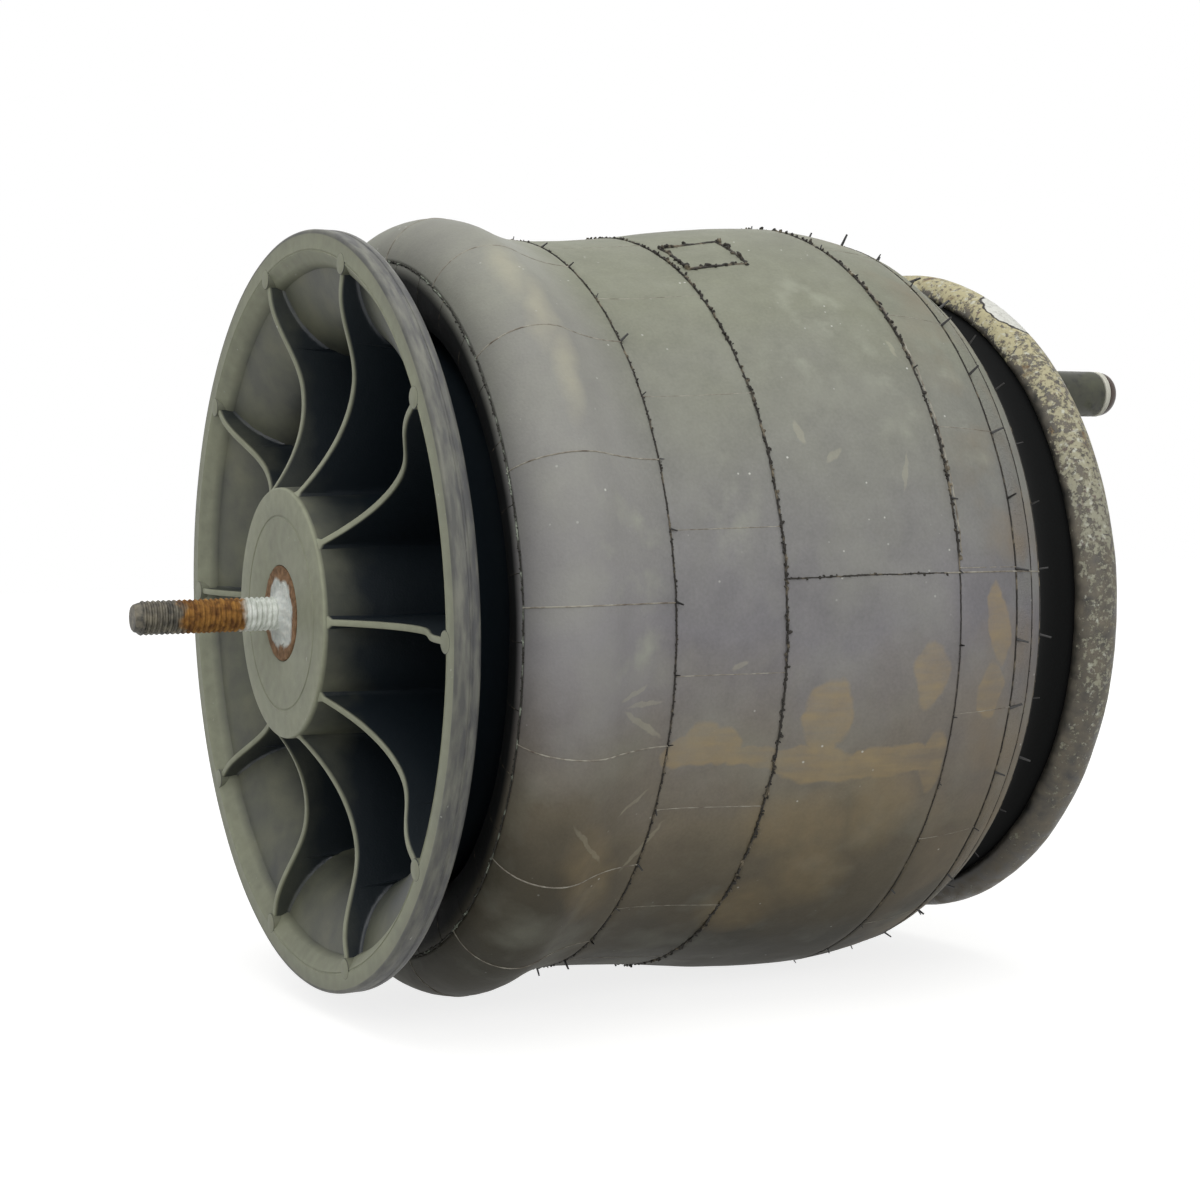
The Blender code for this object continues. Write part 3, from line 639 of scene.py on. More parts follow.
@dataclass(frozen=True)
class SpottedMetal(Finish):
    """A metal part with a second colour in patches, such as oxide on zinc or rust on steel."""

    name: str = ""
    base: str = "#808080"
    spots: str = "#a0a0a0"
    deep: str = "#404040"
    metallic: float = 0.9
    roughness: float = 0.4
    spot_size: float = 5 * MM
    spot_low: float = 0.48
    spot_high: float = 0.66
    pit: float = 0.06 * MM

    def material(self) -> bpy.types.Material:
        """Build the metal, its patches and their pitted relief."""
        coat = Coat(self.name)
        spots = coat.cloud(self.spot_size, self.spot_low, self.spot_high, 6.0)
        deep = coat.cloud(self.spot_size * 0.6, 0.56, 0.74, 5.0, 3.0)
        colour = coat.mix(deep, coat.mix(spots, self.base, self.spots), self.deep)
        gloss = coat.ramp(spots, 0.0, 1.0, self.roughness, min(1.0, self.roughness + 0.35))
        bare = coat.ramp(spots, 0.0, 1.0, self.metallic, self.metallic * 0.4)
        return coat.close(
            colour, gloss, ((coat.cloud(1.2 * MM, 0.2, 0.8, 4.0), self.pit),), {"Metallic": bare},
        )


@dataclass(frozen=True)
class RustedThread(Finish):
    """Plain steel thread in the weather: a dark grey tip, orange rust, white zinc salts at the root."""

    slot: str = "rusty_steel"
    name: str = "steel_thread_rusted"
    tip: str = "#7b7566"
    tip_dark: str = "#3b3934"
    rust: str = "#b0813f"
    rust_deep: str = "#6a4522"
    salt: str = "#ced3ca"
    salt_white: str = "#eef1ec"
    metallic: float = 0.25          # mostly covered by rust
    tip_depth: float = 0.3270       # the grey end starts here
    salt_depth: float = 0.3035      # the white salts end here
    wander: float = 9 * MM

    def material(self) -> bpy.types.Material:
        """Build the three zones along the thread, which run into each other unevenly."""
        coat = Coat(self.name)
        shifted = coat.scaled(coat.noise(4 * MM, 4.0), self.wander, coat.x)
        tip, salt = self.wander / 2 - self.tip_depth, self.wander / 2 - self.salt_depth
        to_tip = coat.ramp(shifted, tip + MM, tip - 2 * MM)
        to_salt = coat.ramp(shifted, salt - 2 * MM, salt + MM)
        fine = coat.cloud(2.4 * MM, 0.36, 0.64, 6.0, 2.0)
        rust, grey, white = (coat.mix(fine, *pair) for pair in (
            (self.rust_deep, self.rust), (self.tip_dark, self.tip), (self.salt, self.salt_white),
        ))
        colour = coat.mix(to_salt, coat.mix(to_tip, rust, grey), white)
        return coat.close(colour, coat.ramp(to_tip, 0.0, 1.0, 0.88, 0.55), (
            (coat.cloud(0.9 * MM, 0.2, 0.8, 4.0, 1.0), 0.14 * MM),
        ), {"Metallic": self.metallic})


@dataclass(frozen=True)
class SaltRing(Finish):
    """The insert's steel face: rust at its edge, white zinc salts piled round the stud."""

    slot: str = "rusty_steel"
    name: str = "steel_face_salted"
    rust: str = "#a07d5c"
    rust_deep: str = "#6e5237"
    salt: str = "#eceee8"
    salt_blue: str = "#d6dcd8"
    inner_radius: float = 0.0135
    roughness: float = 0.9

    def material(self) -> bpy.types.Material:
        """Build the ring, salted inside a ragged radius."""
        coat = Coat(self.name)
        ragged = coat.scaled(coat.noise(7 * MM, 4.0), 9 * MM, coat.reach())
        salted = coat.ramp(ragged, self.inner_radius + 5 * MM, self.inner_radius + 3.4 * MM)
        fine = coat.cloud(2.2 * MM, 0.36, 0.64, 6.0, 2.0)
        rust, white = coat.mix(fine, self.rust_deep, self.rust), coat.mix(fine, self.salt_blue, self.salt)
        return coat.close(
            coat.mix(salted, rust, white), self.roughness, ((fine, 0.3 * MM), (salted, 0.4 * MM)),
        )


@dataclass(frozen=True)
class PlainPolymer(Finish):
    """A moulded rubber or plastic part with faint mottling and a fine grain."""

    name: str = ""
    colour: str = "#202020"
    mottle: str = "#303030"
    roughness: float = 0.55
    grain: float = 0.8 * MM
    rise: float = 0.04 * MM
    on_rubber: bool = False

    def material(self) -> bpy.types.Material:
        """Build the polymer."""
        coat = Coat(self.name, self.on_rubber)
        drift = coat.cloud(9 * MM, 0.32, 0.68, 5.0)
        gloss = coat.ramp(drift, 0.0, 1.0, self.roughness - 0.06, self.roughness + 0.08)
        return coat.close(
            coat.mix(drift, self.colour, self.mottle), gloss,
            ((coat.cloud(self.grain, 0.25, 0.75), self.rise),),
        )


class Surface(Enum):
    """Every finish on the spring."""

    SLEEVE = WeatheredRubber()
    FLASH = FlashRubber()
    PALE_LINE = FlashRubber(
        name="moulding_line_rubber", colour="#6a6055", dust="#aca89b", dust_low=0.35, dust_high=0.6,
    )
    PITTED_LINE = FlashRubber(
        name="fold_line_rubber", colour="#33322c", dust="#98a091", dust_low=0.52, dust_high=0.60,
        speck_size=6 * MM,
    )
    WHISKER = PlainPolymer(
        slot="sleeve_rubber", name="vent_whisker_rubber", colour="#100f0e", mottle="#1d1c1a",
        roughness=0.42, on_rubber=True,
    )
    PISTON = MouldedNylon()
    PLATE = FlakedPaint()
    STUD_BLACK = SpottedMetal(
        slot="blackened_steel", name="phosphated_steel", base="#414238", spots="#585a4c", deep="#2a2b27",
        metallic=0.30, roughness=0.52, spot_size=6 * MM, pit=0.03 * MM,
    )
    PLUG = PlainPolymer(
        slot="plug_plastic", name="polyethylene_plug", colour="#3a2c25", mottle="#4a3a30", roughness=0.42,
    )
    WASHER = PlainPolymer(
        slot="washer_plastic", name="nylon_washer", colour="#c9c8ba", mottle="#dddccf", roughness=0.5,
    )
    THREAD = RustedThread()
    INSERT = SaltRing()
    HOOP = SpottedMetal(
        slot="bead_wire", name="bronze_coated_bead_wire", base="#a98a5b", spots="#8f7147", deep="#5f4a2d",
        metallic=1.0, roughness=0.32, spot_size=3 * MM,
    )
    ZINC = SpottedMetal(
        slot="zinc_steel", name="zinc_plated_steel", base="#b3b5b2", spots="#9a9c97", deep="#7c7d78",
        metallic=0.95, roughness=0.34, spot_size=8 * MM, pit=0.02 * MM,
    )
    BUMPER = PlainPolymer(
        slot="bumper_rubber", name="moulded_bumper_rubber", colour="#191918", mottle="#262624",
        roughness=0.68, grain=1.2 * MM,
    )


def keep_rest_place(piece: bpy.types.Object) -> None:
    """Store each point's place, so that a pattern stays on the rubber when it moves.

    Args:
        piece: the piece of rubber.
    """
    mesh = piece.data
    places = [0.0] * (3 * len(mesh.vertices))
    mesh.vertices.foreach_get("co", places)
    mesh.attributes.new(REST_PLACE, "FLOAT_VECTOR", "POINT").data.foreach_set("vector", places)


class Paintbox:
    """Builds each finish once, and puts it on pieces."""

    def __init__(self) -> None:
        """Start with no finish built."""
        self.made: dict[Surface, bpy.types.Material] = {}

    def material(self, surface: Surface) -> bpy.types.Material:
        """The material of a finish, built at its first use."""
        if surface not in self.made:
            self.made[surface] = surface.value.material()
        return self.made[surface]

    def finish(self, piece: bpy.types.Object, surface: Surface, hold: Body | Stretch, *replaced: str) -> None:
        """Dress a new piece, fasten it to its body or bake a piece of rubber in place, and report it.

        Args:
            piece: the piece.
            surface: its finish.
            hold: the body that carries it, or the stretch of rubber that it lies on.
            replaced: the nodes of the frame that it stands for.
        """
        piece.data.materials.clear()
        piece.data.materials.append(self.material(surface))
        if isinstance(hold, Stretch):
            keep_rest_place(piece)
            hold.hold(piece)
        else:
            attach(piece, hold.value)
        if replaced:
            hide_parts(*replaced)
        LOG.info("%s: %d faces", piece.name, len(piece.data.polygons))

    def dress_node(self, node: bpy.types.Object, surface: Surface) -> None:
        """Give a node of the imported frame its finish.

        Args:
            node: the node.
            surface: its finish.
        """
        for place in node.material_slots:
            place.material = self.material(surface)
        LOG.info("%s: finished as %s", node.name, surface.value.name)


def place_at(depth: float, radius: float, angle: float) -> Vector:
    """A point by its depth, its distance from the axis and its angle in radians."""
    return Vector((-depth, -radius * cos(angle), radius * sin(angle)))


def arc(centre: Point, radius: float, start: float, end: float, steps: int) -> list[Point]:
    """Points on an arc in the profile plane.

    Args:
        centre: depth and radius of its centre.
        radius: its own radius.
        start: first angle in degrees, from the depth axis towards the radius.
        end: last angle in degrees.
        steps: number of equal steps.

    Returns:
        The points, both ends included.
    """
    turns = [radians(start + (end - start) * i / steps) for i in range(steps + 1)]
    return [(centre[0] + radius * cos(turn), centre[1] + radius * sin(turn)) for turn in turns]


def waves(spot: Vector, *layers: Point) -> float:
    """Smooth unevenness at a place: layers of noise, each with its height and how fine it is."""
    return sum(height * noise.noise(spot * fineness) for height, fineness in layers)


def new_object(name: str, mesh: bpy.types.Mesh) -> bpy.types.Object:
    """Put a mesh in the scene as an object at the origin."""
    piece = bpy.data.objects.new(name, mesh)
    bpy.context.scene.collection.objects.link(piece)
    return piece


def close_mesh(mesh: bpy.types.Mesh) -> None:
    """Merge doubles, turn the faces of a closed mesh outwards and shade it smooth."""
    data = bmesh.new()
    data.from_mesh(mesh)
    bmesh.ops.remove_doubles(data, verts=data.verts, dist=WELD_DISTANCE)
    bmesh.ops.dissolve_degenerate(data, edges=data.edges, dist=WELD_DISTANCE)
    bmesh.ops.recalc_face_normals(data, faces=data.faces)
    data.to_mesh(mesh)
    data.free()
    mesh.shade_smooth()
    mesh.set_sharp_from_angle(angle=SMOOTH_ANGLE)


def turned(
    name: str, profile: Sequence[Point], segments: int, relief: Relief | None = None,
    worn: Sequence[float] | None = None, centre: tuple[float, float] = (0.0, 0.0), closed: bool = True,
) -> bpy.types.Object:
    """Turn a profile round an axis along X into a closed piece.

    Args:
        name: the piece's name.
        profile: its points; an open one starts and ends on the axis.
        segments: facets round the axis.
        relief: change of the radius at a depth, radius and angle.
        worn: each point's wear, and where it is negative its painted shade.
        centre: Y and Z of the axis.
        closed: whether the last point joins the first.

    Returns:
        The piece, with its wrap map.
    """
    points, wear_and_shade_values = [], []
    for step in range(segments):
        angle = tau * step / segments - pi
        for i, (depth, radius) in enumerate(profile):
            reach = radius + (relief(depth, radius, angle) if relief and radius > WELD_DISTANCE else 0.0)
            points.append(place_at(depth, reach, angle) + Vector((0.0, *centre)))
            wear_and_shade_values.append(worn[i] if worn else 0.0)
    count = len(profile)
    last = count if closed else count - 1
    faces, wrap = [], []
    for step in range(segments):
        following = (step + 1) % segments
        for i in range(last):
            j = (i + 1) % count
            faces.append((step * count + i, step * count + j, following * count + j, following * count + i))
            for turn, k in ((step, i), (step, j), (step + 1, j), (step + 1, i)):
                wrap += [(tau * turn / segments - pi) * WRAP_RADIUS, profile[k][0]]
    mesh = bpy.data.meshes.new(name)
    mesh.from_pydata(points, [], faces)
    mesh.uv_layers.new(name=WRAP_MAP).data.foreach_set("uv", wrap)
    mesh.attributes.new(WEAR_AND_SHADE, "FLOAT", "POINT").data.foreach_set("value", wear_and_shade_values)
    close_mesh(mesh)
    return new_object(name, mesh)


class GeometryTree:
    """A Geometry Nodes tree with named inputs, which ends in real mesh with its material."""

    FINISH = "Finish"
    SOCKETS = {float: "NodeSocketFloat", int: "NodeSocketInt", tuple: "NodeSocketVector"}

    def __init__(self, name: str, inputs: Mapping[str, float | int | tuple[float, ...]]) -> None:
        """Open a tree.

        Args:
            name: what it makes.
            inputs: the default value of each input, whose type it sets.
        """
        self.tree = bpy.data.node_groups.new(name, "GeometryNodeTree")
        face = self.tree.interface
        face.new_socket("Geometry", in_out="INPUT", socket_type="NodeSocketGeometry")
        face.new_socket("Geometry", in_out="OUTPUT", socket_type="NodeSocketGeometry")
        for label, default in inputs.items():
            kind = self.SOCKETS[type(default)]
            face.new_socket(label, in_out="INPUT", socket_type=kind).default_value = default
        face.new_socket(self.FINISH, in_out="INPUT", socket_type="NodeSocketMaterial")
        self.add = partial(add_node, self.tree)
        self.entry = self.add("NodeGroupInput")

    def close(self, geometry: bpy.types.NodeSocket) -> None:
        """End the tree: make the copies real and give them their material."""
        real = self.add("GeometryNodeRealizeInstances", (geometry,))[0]
        painted = self.add("GeometryNodeSetMaterial", {0: real, "Material": self.entry[self.FINISH]})[0]
        self.add("NodeGroupOutput", (painted,))

    def make(
        self, name: str, values: Mapping[str, object], surface: Surface, hold: Body | Stretch,
        paints: Paintbox, mesh: bpy.types.Mesh | None = None, smooth: bool = False,
    ) -> None:
        """Run the tree once, keep its result as a plain mesh and finish it.

        Args:
            name: the new piece's name.
            values: the inputs that differ from their defaults.
            surface: the piece's finish.
            hold: the body that carries it, or the stretch of rubber that it lies on.
            paints: where finishes come from.
            mesh: the shape that the tree starts from, if it uses one.
            smooth: whether all of its faces are shaded smooth.
        """
        piece = new_object(name, mesh or bpy.data.meshes.new(name))
        modifier = piece.modifiers.new(self.tree.name, "NODES")
        modifier.node_group = self.tree
        chosen = {**values, self.FINISH: paints.material(surface)}
        for item in self.tree.interface.items_tree:
            if item.in_out == "INPUT" and item.name in chosen:
                modifier[item.identifier] = chosen[item.name]
        bpy.context.view_layer.update()
        evaluated = piece.evaluated_get(bpy.context.evaluated_depsgraph_get())
        baked = bpy.data.meshes.new_from_object(evaluated)
        piece.modifiers.clear()
        piece.data = baked
        baked.name = name
        if smooth:
            baked.shade_smooth()
        paints.finish(piece, surface, hold)


def whisker_ring_tree() -> GeometryTree:
    """Vent whiskers in a ring round the sleeve, each leaning its own way."""
    build = GeometryTree(
        "whisker_ring",
        {
            "Depth": 0.2, "Radius": 0.14, "Count": 36, "First Angle": 0.0, "Length": 4 * MM,
            "Thickness": 0.6 * MM, "Lean": 0.6, "Spread": 0.6, "Seed": 1,
        },
    )
    add, entry = build.add, build.entry
    index = add("GeometryNodeInputIndex")[0]
    step = add("Math", (tau, entry["Count"]), operation="DIVIDE")[0]
    angle = add("Math", (index, step, entry["First Angle"]), operation="MULTIPLY_ADD")[0]
    up = add("Math", (angle,), operation="SINE")[0]
    side = add("Math", (angle,), operation="COSINE")[0]
    near = add("Math", (side, -1.0), operation="MULTIPLY")[0]
    outward = add("CombineXYZ", (0.0, near, up))[0]
    reach = add("VectorMath", {0: outward, "Scale": entry["Radius"]}, operation="SCALE")[0]
    back = add("Math", (entry["Depth"], -1.0), operation="MULTIPLY")[0]
    spot = add("CombineXYZ", (back,))[0]
    position = add("VectorMath", (reach, spot), operation="ADD")[0]
    points = add("GeometryNodePoints", {"Count": entry["Count"], "Position": position})[0]
    lean = add("CombineXYZ", (entry["Lean"],))[0]
    leaning = add("VectorMath", (outward, lean), operation="ADD")[0]
    low = add("Math", (entry["Spread"], -1.0), operation="MULTIPLY")[0]
    low_corner = add("CombineXYZ", (low,) * 3)[0]
    high_corner = add("CombineXYZ", (entry["Spread"],) * 3)[0]
    scatter = add(
        "FunctionNodeRandomValue", {0: low_corner, 1: high_corner, "Seed": entry["Seed"]},
        data_type="FLOAT_VECTOR",
    )[0]
    aim = add("VectorMath", (leaning, scatter), operation="ADD")[0]
    turn = add("FunctionNodeAlignRotationToVector", {"Vector": aim}, axis="Z")[0]
    size = add("FunctionNodeRandomValue", {2: 0.55, 3: 1.25, "Seed": entry["Seed"]}, data_type="FLOAT")[1]
    tip = add("Math", (entry["Thickness"], 0.7), operation="MULTIPLY")[0]
    cone = add(
        "GeometryNodeMeshCone",
        {
            "Vertices": 7, "Side Segments": 3, "Radius Top": tip,
            "Radius Bottom": entry["Thickness"], "Depth": entry["Length"],
        },
    )[0]
    whiskers = add(
        "GeometryNodeInstanceOnPoints", {0: points, "Instance": cone, "Rotation": turn, "Scale": size},
    )[0]
    build.close(whiskers)
    return build


def flash_tree() -> GeometryTree:
    """A strip of torn flash along each path, thick and thin by noise, with crumbs strewn on it."""
    build = GeometryTree(
        "flash_strip",
        {
            "Strip Size": 0.35 * MM, "Raggedness": 0.5, "Crumb Length": 3 * MM, "Wander": 0.4 * MM,
            "Lump Size": 0.3 * MM, "Lump Spacing": 2.4 * MM, "Seed": 0.0,
        },
    )
    add, entry = build.add, build.entry
    curves = add("GeometryNodeMeshToCurve", (entry["Geometry"],))[0]
    place = add("GeometryNodeInputPosition")[0]
    fine_scale = add("Math", (1.0, entry["Crumb Length"]), operation="DIVIDE")[0]
    slow = add(
        "TexNoise", {"Vector": place, "W": entry["Seed"], "Scale": 60.0, "Detail": 2.0},
        noise_dimensions="4D",
    )[1]
    quick = add(
        "TexNoise",
        {"Vector": place, "W": entry["Seed"], "Scale": fine_scale, "Detail": 3.0, "Roughness": 0.75},
        noise_dimensions="4D",
    )
    both = add("VectorMath", (slow, quick[1]), operation="ADD")[0]
    centred = add("VectorMath", (both, (1.0, 1.0, 1.0)), operation="SUBTRACT")[0]
    offset = add("VectorMath", {0: centred, "Scale": entry["Wander"]}, operation="SCALE")[0]
    moved = add("GeometryNodeSetPosition", {0: curves, "Offset": offset})[0]
    thin = add("Math", (1.0, entry["Raggedness"]), operation="SUBTRACT")[0]
    thick = add("Math", (1.0, entry["Raggedness"]), operation="ADD")[0]
    width = add("MapRange", (quick[0], 0.36, 0.64, thin, thick))[0]
    sized = add("GeometryNodeSetCurveRadius", {0: moved, "Radius": width})[0]
    section = add("GeometryNodeCurvePrimitiveCircle", {"Resolution": 5, "Radius": entry["Strip Size"]})[0]
    strip = add("GeometryNodeCurveToMesh", {0: sized, "Profile Curve": section, "Fill Caps": True})[0]
    spots = add("GeometryNodeCurveToPoints", {0: moved, "Length": entry["Lump Spacing"]}, mode="LENGTH")[0]
    jitter = add(
        "FunctionNodeRandomValue", ((-1.0, -1.0, -1.0), (1.0, 1.0, 1.0)), data_type="FLOAT_VECTOR",
    )[0]
    shift = add("VectorMath", {0: jitter, "Scale": entry["Lump Size"]}, operation="SCALE")[0]
    strewn = add("GeometryNodeSetPosition", {0: spots, "Offset": shift})[0]
    turn = add(
        "FunctionNodeRandomValue", {0: (0.0, 0.0, 0.0), 1: (tau, tau, tau), "Seed": 5},
        data_type="FLOAT_VECTOR",
    )[0]
    size = add(
        "FunctionNodeRandomValue", {0: (0.4, 0.4, 0.4), 1: (1.5, 1.1, 0.9), "Seed": 6},
        data_type="FLOAT_VECTOR",
    )[0]
    lump = add("GeometryNodeMeshIcoSphere", {"Radius": entry["Lump Size"], "Subdivisions": 1})[0]
    lumps = add(
        "GeometryNodeInstanceOnPoints", {0: strewn, "Instance": lump, "Rotation": turn, "Scale": size},
    )[0]
    joined = add("GeometryNodeJoinGeometry")
    for part in (strip, lumps):
        build.tree.links.new(part, joined[0].node.inputs[0])
    build.close(joined[0])
    return build


def repeat_tree() -> GeometryTree:
    """A solid repeated round the axis."""
    build = GeometryTree("repeat_round_axis", {"Count": 10, "First Angle": 0.0})
    add, entry = build.add, build.entry
    index = add("GeometryNodeInputIndex")[0]
    step = add("Math", (tau, entry["Count"]), operation="DIVIDE")[0]
    angle = add("Math", (index, step, entry["First Angle"]), operation="MULTIPLY_ADD")[0]
    turn = add("CombineXYZ", (angle,))[0]
    points = add("GeometryNodePoints", {"Count": entry["Count"]})[0]
    build.close(
        add("GeometryNodeInstanceOnPoints", {0: points, "Instance": entry["Geometry"], "Rotation": turn})[0]
    )
    return build


def thread_tree() -> GeometryTree:
    """A thread's crest as a spiral ridge along X."""
    build = GeometryTree("thread_crest", {
        "Root Radius": 5.1 * MM,
        "Crest Height": 1.0 * MM,
        "Pitch": 1.95 * MM,
        "Turns": 20.0,
        "Start": (0.0, 0.0, 0.0),
        "Roughness": 0.2 * MM,
    })
    add, entry = build.add, build.entry
    height = add("Math", (entry["Pitch"], entry["Turns"]), operation="MULTIPLY")[0]
    spiral = add(
        "GeometryNodeCurveSpiral",
        {
            "Resolution": 40, "Rotations": entry["Turns"], "Start Radius": entry["Root Radius"],
            "End Radius": entry["Root Radius"], "Height": height,
        },
    )[0]
    upright = add("GeometryNodeSetCurveNormal", (spiral,), mode="Z_UP")[0]
    place = add("GeometryNodeInputPosition")[0]
    rust = add("TexNoise", {"Vector": place, "Scale": 700.0, "Detail": 3.0})[1]
    centred = add("VectorMath", (rust, (0.5, 0.5, 0.5)), operation="SUBTRACT")[0]
    offset = add("VectorMath", {0: centred, "Scale": entry["Roughness"]}, operation="SCALE")[0]
    rough = add("GeometryNodeSetPosition", {0: upright, "Offset": offset})[0]
    section = add("GeometryNodeCurvePrimitiveCircle", {"Resolution": 6, "Radius": entry["Crest Height"]})[0]
    ridge = add("GeometryNodeCurveToMesh", {0: rough, "Profile Curve": section, "Fill Caps": True})[0]
    build.close(add(
        "GeometryNodeTransform",
        {0: ridge, "Translation": entry["Start"], "Rotation": (0.0, -pi / 2, 0.0)},
    )[0])
    return build


class Skin:
    """The weather side of the sleeve as one path, from the upper bead to the inner end of the roll."""

    FINE_STEP = 0.5 * MM

    def __init__(self, knots: Sequence[Point], roll_centre: Point, roll_section: float, roll_start: float):
        """Lay the path out.

        Args:
            knots: points of the flank, from the plate to the waist.
            roll_centre: depth and radius of the roll's centre.
            roll_section: the roll's own radius.
            roll_start: angle on the roll, in degrees, at which the flank joins it.
        """
        self.roll_centre, self.roll_section, self.roll_start = roll_centre, roll_section, roll_start
        roll = arc(roll_centre, roll_section, roll_start, -90.0, 120)
        flank = self.smooth([*knots, roll[0]], roll[1])
        self.points = [*flank, *roll[1:]]
        self.lengths = [0.0]
        for before, after in zip(self.points, self.points[1:]):
            self.lengths.append(self.lengths[-1] + hypot(after[0] - before[0], after[1] - before[1]))
        self.roll_from = self.lengths[len(flank) - 1]

    def smooth(self, knots: Sequence[Point], beyond: Point) -> list[Point]:
        """A Catmull-Rom curve through the knots, in fine steps."""
        path = [(2 * knots[0][0] - knots[1][0], 2 * knots[0][1] - knots[1][1]), *knots]
        ahead = hypot(knots[-1][0] - knots[-2][0], knots[-1][1] - knots[-2][1])
        step = hypot(beyond[0] - knots[-1][0], beyond[1] - knots[-1][1])
        path.append(tuple(k + (b - k) * ahead / step for k, b in zip(knots[-1], beyond)))
        points = []
        for p0, p1, p2, p3 in zip(path, path[1:], path[2:], path[3:]):
            steps = max(2, round(hypot(p2[0] - p1[0], p2[1] - p1[1]) / self.FINE_STEP))
            for i in range(steps):
                t = i / steps
                points.append(tuple(
                    0.5 * (2 * b + (c - a) * t + (2 * a - 5 * b + 4 * c - d) * t ** 2
                           + (3 * b - a - 3 * c + d) * t ** 3)
                    for a, b, c, d in zip(p0, p1, p2, p3)
                ))
        return [*points, knots[-1]]

    def station(self, depth: float) -> float:
        """Length along the path at which the flank reaches a depth."""
        i = next(k for k, point in enumerate(self.points) if point[0] >= depth)
        return self.lengths[i]

    def roll_station(self, angle: float) -> float:
        """Length along the path at an angle on the roll, in degrees."""
        return self.roll_from + radians(self.roll_start - angle) * self.roll_section

    def at(self, length: float, sink: float = 0.0) -> Point:
        """The point at a length along the path.

        Args:
            length: the length along the path.
            sink: how far the point lies under the surface.

        Returns:
            Its depth and radius.
        """
        i = min(max(bisect_left(self.lengths, length), 1), len(self.points) - 1)
        (d0, r0), (d1, r1) = self.points[i - 1], self.points[i]
        span = self.lengths[i] - self.lengths[i - 1]
        share = (length - self.lengths[i - 1]) / span
        across = ((r1 - r0) / span, -(d1 - d0) / span)
        return (d0 + (d1 - d0) * share + across[0] * sink, r0 + (r1 - r0) * share + across[1] * sink)


@dataclass(frozen=True)
class Seam:
    """A moulding seam round the sleeve, or a part of it: flash that stands in a fine groove."""

    name: str
    depth: float
    strip: float                # half width of its flash
    ragged: float
    wander: float
    surface: Surface = Surface.FLASH
    roll_angle: float | None = None   # set where the seam lies on the roll, in degrees
    crumb: float = 3 * MM
    lump: float = 0.22 * MM
    span: tuple[float, float] = (-180.0, 180.0)
    whisker: float = 0.0        # length of its vent whiskers
    whisker_angle: float = 0.0  # degrees
    lean: float = 0.5


@dataclass(frozen=True)
class Rib:
    """A thin raised line along the sleeve, from one station to another, repeated round it."""

    name: str
    stops: tuple[float, float]
    count: int
    angle: float                # degrees
    strip: float
    ragged: float
    surface: Surface = Surface.PALE_LINE
    wander: float = 0.25 * MM
    lump: float = 0.12 * MM


